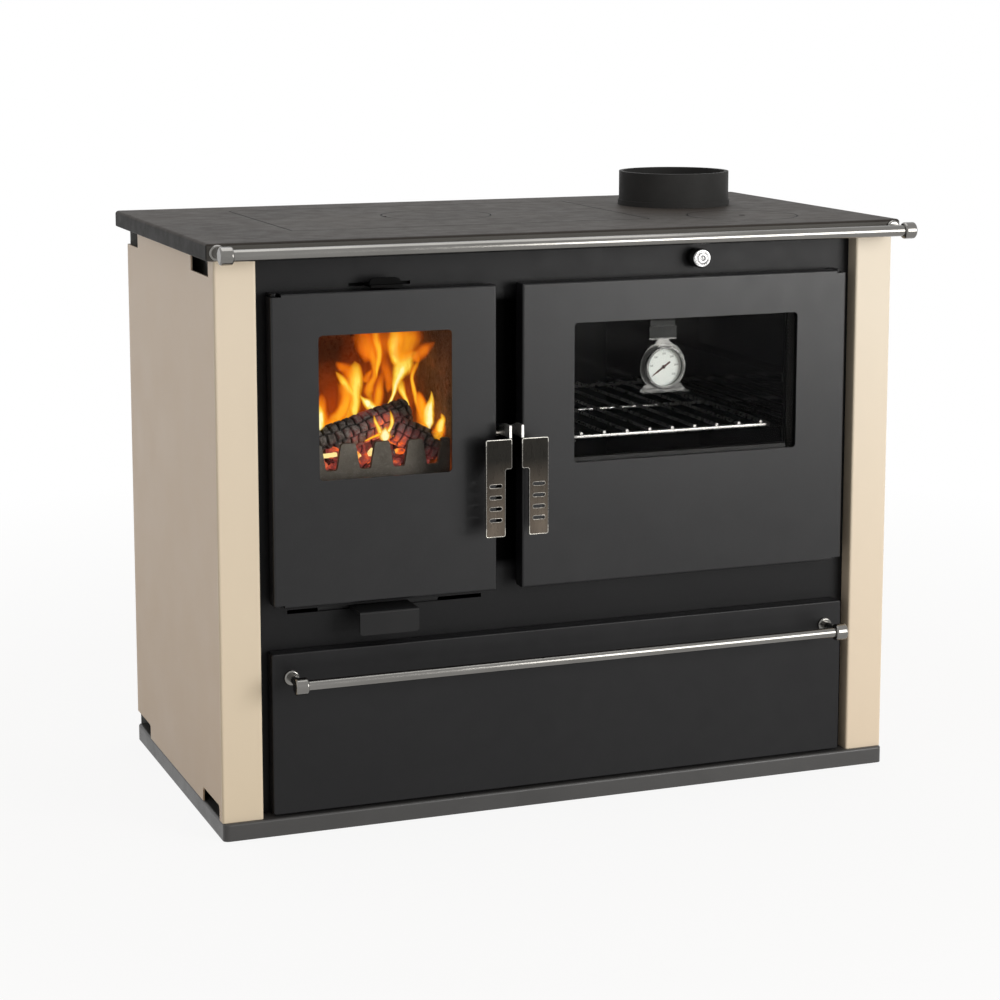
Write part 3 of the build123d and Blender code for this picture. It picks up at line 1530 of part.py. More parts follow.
# Drawer runners: two bars on the plinth with an outer guide lip
with BuildPart() as drawer_runners:
    runner_top = box_low - fit_gap
    lip_inside = box_side + runner_gap
    for side in (-1, 1):
        bar_ends = sorted((side * (box_side - runner_width), side * (lip_inside + runner_lip)))
        lip_ends = sorted((side * lip_inside, side * (lip_inside + runner_lip)))
        block(
            bar_ends[0], bar_ends[1], facade_back, shell_rear_inside, plinth_height, runner_top
        )
        block(
            lip_ends[0], lip_ends[1], facade_back, shell_rear_inside,
            plinth_height, runner_top + runner_lip_height,
        )
drawer_runners.part.label = "drawer_runners"
export_step(drawer_runners.part, "parts/drawer_runners.step")

# Pull rail on the drawer front
drawer_rail_y = drawer_front_y - drawer_rail_reach
drawer_rail_z = drawer_top - drawer_rail_from_top
drawer_ferrule_x = drawer_side - drawer_rail_end_inset
with BuildPart() as drawer_rail_brackets:
    add(rail_brackets(drawer_ferrule_x, drawer_front_y, drawer_rail_y, drawer_rail_z))
drawer_rail_brackets.part.label = "drawer_rail_brackets"
export_step(drawer_rail_brackets.part, "parts/drawer_rail_brackets.step")

with BuildPart() as drawer_rail_tube:
    add(
        rail_tube(
            drawer_ferrule_x - ferrule_length / 2, drawer_rail_y, drawer_rail_z, drawer_rail_radius
        )
    )
drawer_rail_tube.part.label = "drawer_rail_tube"
export_step(drawer_rail_tube.part, "parts/drawer_rail_tube.step")
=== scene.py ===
import math
import random

import bmesh
import bpy
from mathutils import Matrix, Vector, noise


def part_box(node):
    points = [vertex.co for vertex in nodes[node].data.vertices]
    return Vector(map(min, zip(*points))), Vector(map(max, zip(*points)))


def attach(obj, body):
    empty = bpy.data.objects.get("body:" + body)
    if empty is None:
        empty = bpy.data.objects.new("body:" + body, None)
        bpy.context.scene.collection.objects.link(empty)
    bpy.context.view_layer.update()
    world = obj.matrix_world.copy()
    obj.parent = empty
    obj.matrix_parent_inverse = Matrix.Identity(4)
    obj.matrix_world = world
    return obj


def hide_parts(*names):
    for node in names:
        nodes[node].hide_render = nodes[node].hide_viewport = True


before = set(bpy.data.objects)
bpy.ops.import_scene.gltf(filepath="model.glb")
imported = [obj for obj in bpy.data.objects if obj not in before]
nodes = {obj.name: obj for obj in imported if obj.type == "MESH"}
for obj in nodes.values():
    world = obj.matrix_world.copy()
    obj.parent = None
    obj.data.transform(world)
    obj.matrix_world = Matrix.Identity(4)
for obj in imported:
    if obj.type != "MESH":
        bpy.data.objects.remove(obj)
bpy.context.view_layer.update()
print("frame loaded,", len(nodes), "nodes")


# Node tools

def addNode(tree, kind, sockets=None, **settings):
    node = tree.nodes.new("ShaderNode" + kind)
    for name, value in settings.items():
        setattr(node, name, value)
    for name, value in (sockets or {}).items():
        if isinstance(value, bpy.types.NodeSocket):
            tree.links.new(value, node.inputs[name])
        else:
            node.inputs[name].default_value = value
    return node


def newMaterial(name):
    material = bpy.data.materials.new(name)
    material.use_nodes = True
    material.node_tree.nodes.clear()
    return material, material.node_tree


def objectPoint(tree, stretch=(1, 1, 1), turn=(0, 0, 0)):
    place = addNode(tree, "TexCoord")
    return addNode(tree, "Mapping", {
        "Vector": place.outputs["Object"], "Scale": stretch, "Rotation": turn,
    }).outputs["Vector"]


def pointParts(tree):
    return addNode(tree, "SeparateXYZ", {"Vector": objectPoint(tree)}).outputs


def attributesOf(tree, *names):
    return [addNode(tree, "Attribute", attribute_name=name).outputs["Fac"]
            for name in names]


def noiseAt(tree, point, scale, detail=3, roughness=0.5, distortion=0):
    return addNode(tree, "TexNoise", {
        "Vector": point, "Scale": scale, "Detail": detail, "Roughness": roughness,
        "Distortion": distortion,
    }).outputs["Fac"]


def remap(tree, value, low, high, toLow=0, toHigh=1):
    return addNode(tree, "MapRange", {
        "Value": value, "From Min": low, "From Max": high, "To Min": toLow, "To Max": toHigh,
    }).outputs["Result"]


def combine(tree, operation, first, second, clamp=False):
    return addNode(
        tree, "Math", {0: first, 1: second}, operation=operation, use_clamp=clamp
    ).outputs["Value"]


def times(tree, first, second):
    return combine(tree, "MULTIPLY", first, second)


def apart(tree, first, second):
    return combine(tree, "ABSOLUTE", combine(tree, "SUBTRACT", first, second), 0)


def vectorMath(tree, operation, output, *inputs):
    return addNode(
        tree, "VectorMath", dict(enumerate(inputs)), operation=operation
    ).outputs[output]


def colourRamp(tree, factor, stops):
    node = addNode(tree, "ValToRGB", {"Fac": factor})
    elements = node.color_ramp.elements
    elements.remove(elements[1])
    elements[0].position = stops[0][0]
    elements[0].color = (*stops[0][1], 1)
    for position, colour in stops[1:]:
        elements.new(position).color = (*colour, 1)
    return node.outputs["Color"]


def mixColour(tree, factor, first, second):
    node = addNode(tree, "Mix", data_type="RGBA")
    for index, value in ((0, factor), (6, first), (7, second)):     # its sockets for colours
        if isinstance(value, bpy.types.NodeSocket):
            tree.links.new(value, node.inputs[index])
        else:
            node.inputs[index].default_value = value if index == 0 else (*value, 1)
    return node.outputs[2]


def bumpFrom(tree, height, distance, strength=1, normal=None):
    sockets = {"Height": height, "Distance": distance, "Strength": strength}
    if normal:
        sockets["Normal"] = normal
    return addNode(tree, "Bump", sockets).outputs["Normal"]


def outputTo(tree, shader):
    addNode(tree, "OutputMaterial", {"Surface": shader})


def coverWith(tree, sockets):
    outputTo(tree, addNode(tree, "BsdfPrincipled", sockets).outputs["BSDF"])


def mixShaders(tree, share, first, second):
    return addNode(tree, "MixShader", {
        0: share, 1: first.outputs[0], 2: second.outputs[0],
    }).outputs["Shader"]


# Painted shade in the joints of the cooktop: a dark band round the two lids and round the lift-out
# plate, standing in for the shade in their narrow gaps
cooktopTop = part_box("cooktop")[1][2]
jointLines = {
    "lids": [(-0.07985, 0.041125, 0.0716), (0.292, -0.105, 0.0716)],     # x, y, radius
    "plateCentre": (-0.07985, 0.041125), "plateHalf": (0.23865, 0.150425),
    "dark": 0.0008, "clear": 0.0019,     # distances from a joint's middle
    "amount": 0.9,
    "colour": (0.004, 0.0038, 0.0036),
}


def jointShade(tree):
    point = objectPoint(tree)
    gaps = []
    for x, y, radius in jointLines["lids"]:
        away = vectorMath(tree, "SUBTRACT", "Vector", point, (x, y, 0))
        level = vectorMath(tree, "MULTIPLY", "Vector", away, (1, 1, 0))
        gaps.append(apart(tree, vectorMath(tree, "LENGTH", "Value", level), radius))
    parts = pointParts(tree)
    sides = [
        combine(tree, "SUBTRACT", apart(tree, parts[axis], middle), half)
        for axis, middle, half in zip("XY", jointLines["plateCentre"], jointLines["plateHalf"])
    ]
    nearest = apart(tree, combine(tree, "MAXIMUM", *sides), 0)
    for gap in gaps:
        nearest = combine(tree, "MINIMUM", nearest, gap)
    return remap(tree, nearest, jointLines["dark"], jointLines["clear"], jointLines["amount"], 0)


# Painted shade on the front plate in the gap where the two doors meet
doorGapShade = {
    "X": (-0.118, -0.05), "Z": (0.3, 0.648), "soft": 0.012,
    "colour": (0.0008, 0.0008, 0.0008),
}


def doorGapShadeMask(tree):
    parts = pointParts(tree)
    inside = 1
    for axis in "XZ":
        low, high = doorGapShade[axis]
        half = (high - low) / 2
        share = remap(tree, apart(tree, parts[axis], low + half), half, half - doorGapShade["soft"])
        inside = times(tree, share, inside)
    return inside


# Most finishes are two tones in broad patches, a roughness that wanders, and fine relief
patchNoise = {"detail": 5, "roughness": 0.6}
wanderNoise = {"detail": 4, "roughness": 0.65}
reliefNoise = {"detail": 3, "roughness": 0.6}
grainNoise = {"detail": 2, "roughness": 0.7}
wanderScale = 7             # against the scale of the patches
noiseMiddle = (0.3, 0.7)    # most of a noise lies between these


def speckled(tree, point, colour, scale, low, high, amount, tint):
    grains = noiseAt(tree, point, scale, **grainNoise)
    return mixColour(tree, remap(tree, grains, low, high, 0, amount), colour, tint)


# Where "behind" is given, only what lies further back than it takes the tint
def faded(tree, colour, low, high, tint, axis="Z", behind=None, soft=0.003):
    parts = pointParts(tree)
    amount = remap(tree, parts[axis], low, high)
    if behind:
        amount = times(tree, amount, remap(tree, parts["Y"], behind, behind + soft))
    return mixColour(tree, amount, colour, tint)


def makeFinish(name, tones, roughness, patch, relief, gloss=0.5, stretch=(1, 1, 1), specks=None,
               fades=(), joints=False, shaded=False, **fixed):
    material, tree = newMaterial(name)
    point = objectPoint(tree, stretch)
    patches = noiseAt(tree, point, patch, **patchNoise)
    colour = colourRamp(tree, patches, [(0.35, tones[0]), (0.65, tones[1])])
    if specks:
        colour = speckled(tree, point, colour, *specks)
    for fade in fades:
        colour = faded(tree, colour, *fade)
    if joints:
        colour = mixColour(tree, jointShade(tree), colour, jointLines["colour"])
    # Painted shade between the doors: a near-black colour with the gloss taken away
    if shaded:
        fixed["Metallic"] = doorGapShadeMask(tree)     # takes the paint's gloss away
        colour = mixColour(tree, fixed["Metallic"], colour, doorGapShade["colour"])
    wander = noiseAt(tree, point, patch * wanderScale, **wanderNoise)
    normal = None
    for scale, distance, strength in relief:
        normal = bumpFrom(tree, noiseAt(tree, point, scale, **reliefNoise), distance, strength,
                          normal)
    coverWith(tree, {
        "Base Color": colour, "Roughness": remap(tree, wander, *noiseMiddle, *roughness),
        "Specular IOR Level": gloss, "Normal": normal, **fixed,
    })
    return material


flangeBack = -0.2205        # the side panels' flat sides lie behind this
cooktopFront = -0.2262      # and the cooktop's front edge before this
cooktopEdge = (cooktopTop - 0.0022, cooktopTop - 0.0034)
enamelCoat = {"gloss": 0.22, "Coat Weight": 0.05, "Coat Roughness": 0.2}
metal = {"Metallic": 1.0}
paintSpecks = {"specks": (900, 0.55, 0.75, 0.25, (0.03, 0.03, 0.033))}
paintRelief = [(1100, 0.00025, 0.45)]
castRelief = [(600, 0.0003, 0.5)]
tabRelief = [(900, 0.0002, 0.4)]
printRelief = [(900, 0.00003, 0.3)]
wireRelief = [(120, 0.00003, 0.1)]
gaugeRelief = [(300, 0.00003, 0.2)]

# Two tones, roughness, scale of the patches, relief, and what else a finish has. A fade has its
# start, end and colour, and may have its axis and what it lies behind. Specks have their scale,
# limits, amount and colour
looks = {
    # The left panel's enamel is a lighter copy of the right one's: painted light. Its fades are
    # painted shade: darker towards the bottom, and on the side face a slightly darker band near the
    # top and much darker low down
    "creamLeft": (
        [(0.805, 0.7, 0.555), (0.82, 0.715, 0.57)], (0.34, 0.42), 2, [(40, 0.0005, 0.06)],
        {**enamelCoat, "fades": [
            (0.62, 0.05, (0.765, 0.65, 0.49)),
            (0.8, 0.74, (0.8, 0.66, 0.52), "Z", flangeBack),
            (0.66, 0.02, (0.62, 0.47, 0.32), "Z", flangeBack),
        ]}),
    # Darker towards the bottom: painted shade
    "creamRight": (
        [(0.705, 0.628, 0.512), (0.718, 0.64, 0.524)], (0.34, 0.42), 2, [(40, 0.0005, 0.06)],
        {**enamelCoat, "fades": [(0.62, 0.05, (0.715, 0.6, 0.46))]}),
    "blackPaint": (
        [(0.0055, 0.0055, 0.0062), (0.008, 0.008, 0.0088)], (0.34, 0.42), 5, paintRelief,
        {**paintSpecks, "gloss": 0.22}),
    # A darker copy of the black paint for the front plate: painted shade under the cooktop's
    # overhang
    "facadePaint": (
        [(0.0035, 0.0035, 0.004), (0.0055, 0.0055, 0.006)], (0.36, 0.44), 5, paintRelief,
        {**paintSpecks, "gloss": 0.17, "shaded": True}),
    "doorPaint": (
        [(0.005, 0.005, 0.0056), (0.0075, 0.0075, 0.0082)], (0.3, 0.37), 5, paintRelief,
        {**paintSpecks, "gloss": 0.32}),
    # A much lighter copy of the black paint for the plinth: painted light
    "plinthPaint": (
        [(0.036, 0.0352, 0.0345), (0.05, 0.049, 0.048)], (0.36, 0.46), 5, paintRelief,
        {**paintSpecks, "gloss": 0.5}),
    "cooktopIron": (
        [(0.023, 0.019, 0.016), (0.035, 0.0295, 0.025)], (0.5, 0.62), 6,
        [(700, 0.0003, 0.4), (60, 0.0003, 0.05)],
        {"gloss": 0.11, "joints": True,
         # Painted shade darkens the plate's edges, and a painted highlight lightens its front edge
         "fades": [(*cooktopEdge, (0.018, 0.017, 0.016)),
                   (*cooktopEdge, (0.095, 0.092, 0.086), "Z", cooktopFront, -0.002)],
         "specks": (420, 0.58, 0.72, 0.35, (0.07, 0.065, 0.059))}),
    "flueIron": (
        [(0.032, 0.0317, 0.0312), (0.042, 0.0415, 0.041)], (0.5, 0.62), 9, castRelief,
        {"gloss": 0.05}),
    "doorCasting": (
        [(0.005, 0.005, 0.0052), (0.008, 0.008, 0.0082)], (0.5, 0.62), 9, castRelief,
        {"gloss": 0.12}),
    "ashyIron": (
        [(0.085, 0.075, 0.062), (0.16, 0.145, 0.125)], (0.6, 0.85), 18,
        [(350, 0.0006, 0.6), (60, 0.001, 0.3)],
        {"Metallic": 0.15, "specks": (260, 0.55, 0.7, 0.3, (0.3, 0.28, 0.25))}),
    "polishedSteel": (
        [(0.165, 0.16, 0.15), (0.215, 0.208, 0.196)], (0.13, 0.19), 6, [(240, 0.00003, 0.12)],
        {**metal, "stretch": (1, 6, 6)}),
    # The case's fades are painted shade: dark bands along its bottom and top
    "gaugeSteel": (
        [(0.065, 0.067, 0.067), (0.2, 0.202, 0.2)], (0.14, 0.22), 55, gaugeRelief,
        {**metal, "fades": [(0.5125, 0.5105, (0.06, 0.061, 0.061)),
                            (0.573, 0.576, (0.016, 0.0165, 0.0165))]}),
    # Near-black on the hook's upper part: painted shade
    "hookSteel": (
        [(0.013, 0.0135, 0.0135), (0.018, 0.0185, 0.0185)], (0.26, 0.36), 20, gaugeRelief,
        {**metal, "fades": [(0.5965, 0.5985, (0.0025, 0.0025, 0.0025))]}),
    # The handle's fades are painted light: darker towards the top as a painted reflection of dark
    # surroundings, and near white on the pins above the plates as a painted highlight
    "handleSteel": (
        [(0.082, 0.067, 0.053), (0.118, 0.097, 0.077)], (0.24, 0.34), 9, [(260, 0.00008, 0.4)],
        {**metal, "stretch": (6, 6, 1),
         "fades": [(0.366, 0.448, (0.016, 0.015, 0.0132)),
                   (0.4742, 0.4752, (0.8, 0.78, 0.74))]}),
    "rimSteel": (
        [(0.55, 0.52, 0.47), (0.66, 0.63, 0.58)], (0.22, 0.32), 20, [(400, 0.00005, 0.3)], metal),
    # A lighter steel for the handle edges, paler still along the top and bottom: painted highlight
    "edgeSteel": (
        [(0.15, 0.142, 0.13), (0.21, 0.2, 0.183)], (0.22, 0.32), 30, [(400, 0.00005, 0.2)],
        {**metal, "fades": [(0.4665, 0.469, (0.58, 0.56, 0.51)),
                            (0.366, 0.3635, (0.5, 0.48, 0.43))]}),
    "slotSteel": (
        [(0.17, 0.158, 0.14), (0.36, 0.338, 0.305)], (0.24, 0.34), 70, [(400, 0.00005, 0.3)],
        metal),
    "clipSteel": (
        [(0.022, 0.022, 0.023), (0.028, 0.028, 0.028)], (0.3, 0.36), 14, wireRelief,
        {**metal, "fades": [(0.441, 0.446, (0.003, 0.003, 0.003))]}),
    "wireChrome": (
        [(0.36, 0.36, 0.36), (0.46, 0.46, 0.455)], (0.24, 0.32), 30, wireRelief, metal),
    "knobChrome": (
        [(0.24, 0.238, 0.235), (0.64, 0.635, 0.63)], (0.14, 0.22), 320, [(700, 0.00008, 0.5)],
        metal),
    "sheetSteel": (
        [(0.3, 0.3, 0.3), (0.4, 0.4, 0.39)], (0.35, 0.5), 12, [(500, 0.0002, 0.3)],
        {"Metallic": 0.9, "stretch": (1, 1, 5),
         "specks": (140, 0.52, 0.6, 0.35, (0.5, 0.5, 0.49))}),
    # Lighter towards the left of the rear wall: a painted reflection
    "ovenEnamel": (
        [(0.0045, 0.005, 0.0065), (0.008, 0.009, 0.011)], (0.06, 0.1), 8, [(50, 0.0003, 0.04)],
        {"gloss": 0.6,
         "fades": [(0.25, 0.175, (0.06, 0.062, 0.066), "X", 0.19)],
         "specks": (1300, 0.7, 0.74, 0.15, (0.08, 0.085, 0.09))}),
    # The two air tabs are one black paint in two copies: the lower lighter, painted light; the
    # upper darker, painted shade
    "tabPaint": (
        [(0.008, 0.008, 0.0085), (0.012, 0.012, 0.0125)], (0.34, 0.44), 12, tabRelief,
        {"gloss": 0.2}),
    "upperTabPaint": (
        [(0.0022, 0.0022, 0.0022), (0.0034, 0.0034, 0.0034)], (0.5, 0.62), 12, tabRelief,
        {"gloss": 0.04}),
    "dialCard": (
        [(0.88, 0.95, 0.95), (0.93, 0.98, 0.975)], (0.4, 0.5), 60, printRelief, {}),
    "dialInk": (
        [(0.03, 0.03, 0.035), (0.05, 0.05, 0.055)], (0.4, 0.5), 60, printRelief, {}),
    "pointerPaint": (
        [(0.045, 0.008, 0.01), (0.09, 0.012, 0.012)], (0.35, 0.45), 90, printRelief, {}),
}
finishes = {}
for name, (tones, roughness, patch, relief, more) in looks.items():
    finishes[name] = makeFinish(name, tones, roughness, patch, relief, **more)


# A plaited seal: two sets of slanting strands, and fluff
ropeSeal = {
    "slants": (0.7, -0.7), "strandScale": 110, "fluffScale": 900,
    "tones": [(0.2, (0.004, 0.004, 0.004)), (0.9, (0.018, 0.0175, 0.017))],
}


def ropeFinish():
    material, tree = newMaterial("ropeSeal")
    strands = [
        addNode(tree, "TexWave", {
            "Vector": objectPoint(tree, turn=(0, slant, 0)), "Scale": ropeSeal["strandScale"],
            "Distortion": 1.5, "Detail": 2,
        }).outputs["Fac"]
        for slant in ropeSeal["slants"]
    ]
    plait = combine(tree, "MAXIMUM", *strands)
    fluff = noiseAt(tree, objectPoint(tree), ropeSeal["fluffScale"], 2)
    coverWith(tree, {
        "Base Color": colourRamp(tree, plait, ropeSeal["tones"]),
        "Roughness": remap(tree, fluff, *noiseMiddle, 0.85, 0.95),
        "Normal": bumpFrom(tree, plait, 0.0012, 0.8, bumpFrom(tree, fluff, 0.0003, 0.5)),
    })
    return material


# Clear pane: it mirrors a little, more at a slant, and lets lamp light through
def glassFinish(name, tint, ior, smear):
    material, tree = newMaterial(name)
    haze = noiseAt(tree, objectPoint(tree), 25, 4, 0.7)
    mirror = addNode(tree, "BsdfPrincipled", {
        "Base Color": (0.9, 0.9, 0.9, 1), "Metallic": 1.0,
        "Roughness": remap(tree, haze, 0.4, 0.7, 0.02, smear),
    })
    clear = addNode(tree, "BsdfTransparent", {"Color": (*tint, 1)})
    slant = addNode(tree, "Fresnel", {"IOR": ior}).outputs["Fac"]
    outputTo(tree, mixShaders(tree, slant, clear, mirror))
    return material


# Sooty vermiculite with painted firelight: an orange glow in patches, strongest low down near the
# logs, standing in for the light of the flames
firelitBrick = {
    "patchScale": 13, "grainScale": 240,
    "tones": [(0.35, (0.085, 0.062, 0.044)), (0.65, (0.2, 0.15, 0.105))],
    "soot": (0.022, 0.017, 0.013),
    # the painted firelight is weakest at the cool height and full at the hot one
    "cool": 0.6, "hot": 0.455,     # heights
    "glow": [(0.05, (0.012, 0.0028, 0.0008)), (0.35, (0.036, 0.007, 0.0012)),
             (0.62, (0.13, 0.022, 0.0022)), (0.9, (0.33, 0.06, 0.004))],
}


def brickFinish():
    material, tree = newMaterial("firelitBrick")
    point = objectPoint(tree)
    broad = noiseAt(tree, point, firelitBrick["patchScale"], 4, 0.6, 0.4)
    grains = noiseAt(tree, point, firelitBrick["grainScale"], 3, 0.7)
    base = colourRamp(tree, broad, firelitBrick["tones"])
    base = mixColour(tree, remap(tree, grains, 0.5, 0.64, 0, 0.75), base, firelitBrick["soot"])
    low = remap(tree, pointParts(tree)["Z"], firelitBrick["cool"], firelitBrick["hot"], 0.25, 1.0)
    hot = times(tree, remap(tree, broad, 0.34, 0.66), low)
    coverWith(tree, {
        "Base Color": base, "Roughness": remap(tree, grains, *noiseMiddle, 0.85, 0.95),
        "Emission Color": colourRamp(tree, hot, firelitBrick["glow"]), "Emission Strength": 1.0,
        "Normal": bumpFrom(tree, grains, 0.0012, 0.6, bumpFrom(tree, broad, 0.002, 0.4)),
    })
    return material


finishes["firelitBrick"] = brickFinish()
finishes["ropeSeal"] = ropeFinish()
finishes["stoveGlass"] = glassFinish("stoveGlass", (0.965, 0.96, 0.95), 1.1, 0.08)
finishes["lensGlass"] = glassFinish("lensGlass", (0.985, 0.99, 0.99), 1.14, 0.05)

finishNodes = {
    "creamLeft": "side_panel_left",
    "creamRight": "side_panel_right",
    "blackPaint": "drawer_front door_hinge_lugs latch_keeper",
    "facadePaint": "facade",
    "doorPaint": "firebox_door_shell oven_door_shell",
    "plinthPaint": "plinth",
    "cooktopIron": "cooktop centre_plate left_ring_lid right_ring_lid",
    "flueIron": "flue_collar",
    "doorCasting": "firebox_door_frame oven_door_frame",
    "upperTabPaint": "secondary_air_slider",
    "ashyIron": "firebox_base grate log_retainer",
    "polishedSteel": "top_rail_tube top_rail_brackets drawer_rail_tube drawer_rail_brackets",
    "gaugeSteel": "thermometer_case",
    "hookSteel": "thermometer_hook",
    "handleSteel": "firebox_handle oven_handle",
    "rimSteel": "firebox_latch_pivot oven_latch_pivot",
    "wireChrome": "oven_rack",
    "knobChrome": "damper_knob",
    "sheetSteel": "body_shell casing_floor rear_panel firebox_casing smoke_baffle damper_slide "
                  "primary_air_guides secondary_air_guides drawer_box drawer_runners ash_pan "
                  "oven_feet",
    "clipSteel": "firebox_glass_clips oven_glass_clips",
    "ovenEnamel": "oven_box oven_ledges",
    "tabPaint": "primary_air_slider",
    "stoveGlass": "firebox_glass oven_glass",
    "lensGlass": "thermometer_lens",
    "ropeSeal": "firebox_door_gasket oven_door_gasket",
    "firelitBrick": "fire_brick_left fire_brick_right fire_brick_rear",
    "dialCard": "thermometer_dial",
    "pointerPaint": "thermometer_pointer",
}
for finish, names in finishNodes.items():
    for name in names.split():
        node = nodes[name]
        if not node.material_slots:
            node.data.materials.append(finishes[finish])
        for slot in node.material_slots:
            slot.material = finishes[finish]
print("finishes on the CAD nodes")


# Piece tools

quarterTurn = math.radians(90)


def showObject(name, data):
    shown = bpy.data.objects.new(name, data)
    bpy.context.scene.collection.objects.link(shown)
    return shown


def meshFrom(bm, name, material):
    mesh = bpy.data.meshes.new(name)
    bm.to_mesh(mesh)
    bm.free()
    mesh.materials.append(material)
    return mesh


def mergeDoubles(bm):
    bmesh.ops.remove_doubles(bm, verts=bm.verts, dist=1e-6)


def addPiece(name, bm, material, body, smooth=True):
    mergeDoubles(bm)
    mesh = meshFrom(bm, name, material)
    for polygon in mesh.polygons:
        polygon.use_smooth = smooth
    piece = showObject(name, mesh)
    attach(piece, body)
    return piece


def addLayers(bm, *names):
    return {name: bm.verts.layers.float.new(name) for name in names}


def turnVerts(bm, angle, axis, verts=None):
    bmesh.ops.rotate(bm, verts=verts or bm.verts, cent=(0, 0, 0),
                     matrix=Matrix.Rotation(angle, 3, axis))


def moveVerts(bm, offset, verts=None):
    bmesh.ops.translate(bm, verts=verts or bm.verts, vec=offset)


def facesOut(bm):
    bmesh.ops.recalc_face_normals(bm, faces=bm.faces)


def onlyVerts(made):
    return [part for part in made if isinstance(part, bmesh.types.BMVert)]


def smoothLine(points, samples):
    # Catmull-Rom through points of any number of values
    spots = [points[0], *points, points[-1]]
    line = []
    for step in range(samples + 1):
        along = step / samples * (len(points) - 1)
        index = min(int(along), len(points) - 2)
        t = along - index
        a, b, c, d = spots[index:index + 4]
        line.append([
            0.5 * (2 * q + (r - p) * t + (2 * p - 5 * q + 4 * r - s) * t * t
                   + (3 * q - p - 3 * r + s) * t ** 3)
            for p, q, r, s in zip(a, b, c, d)
        ])
    return line


# Flames: closed tongues round curved centre lines. Each point holds how far it is from the
# tongue's side edges, how far up it is and how hot the tongue burns

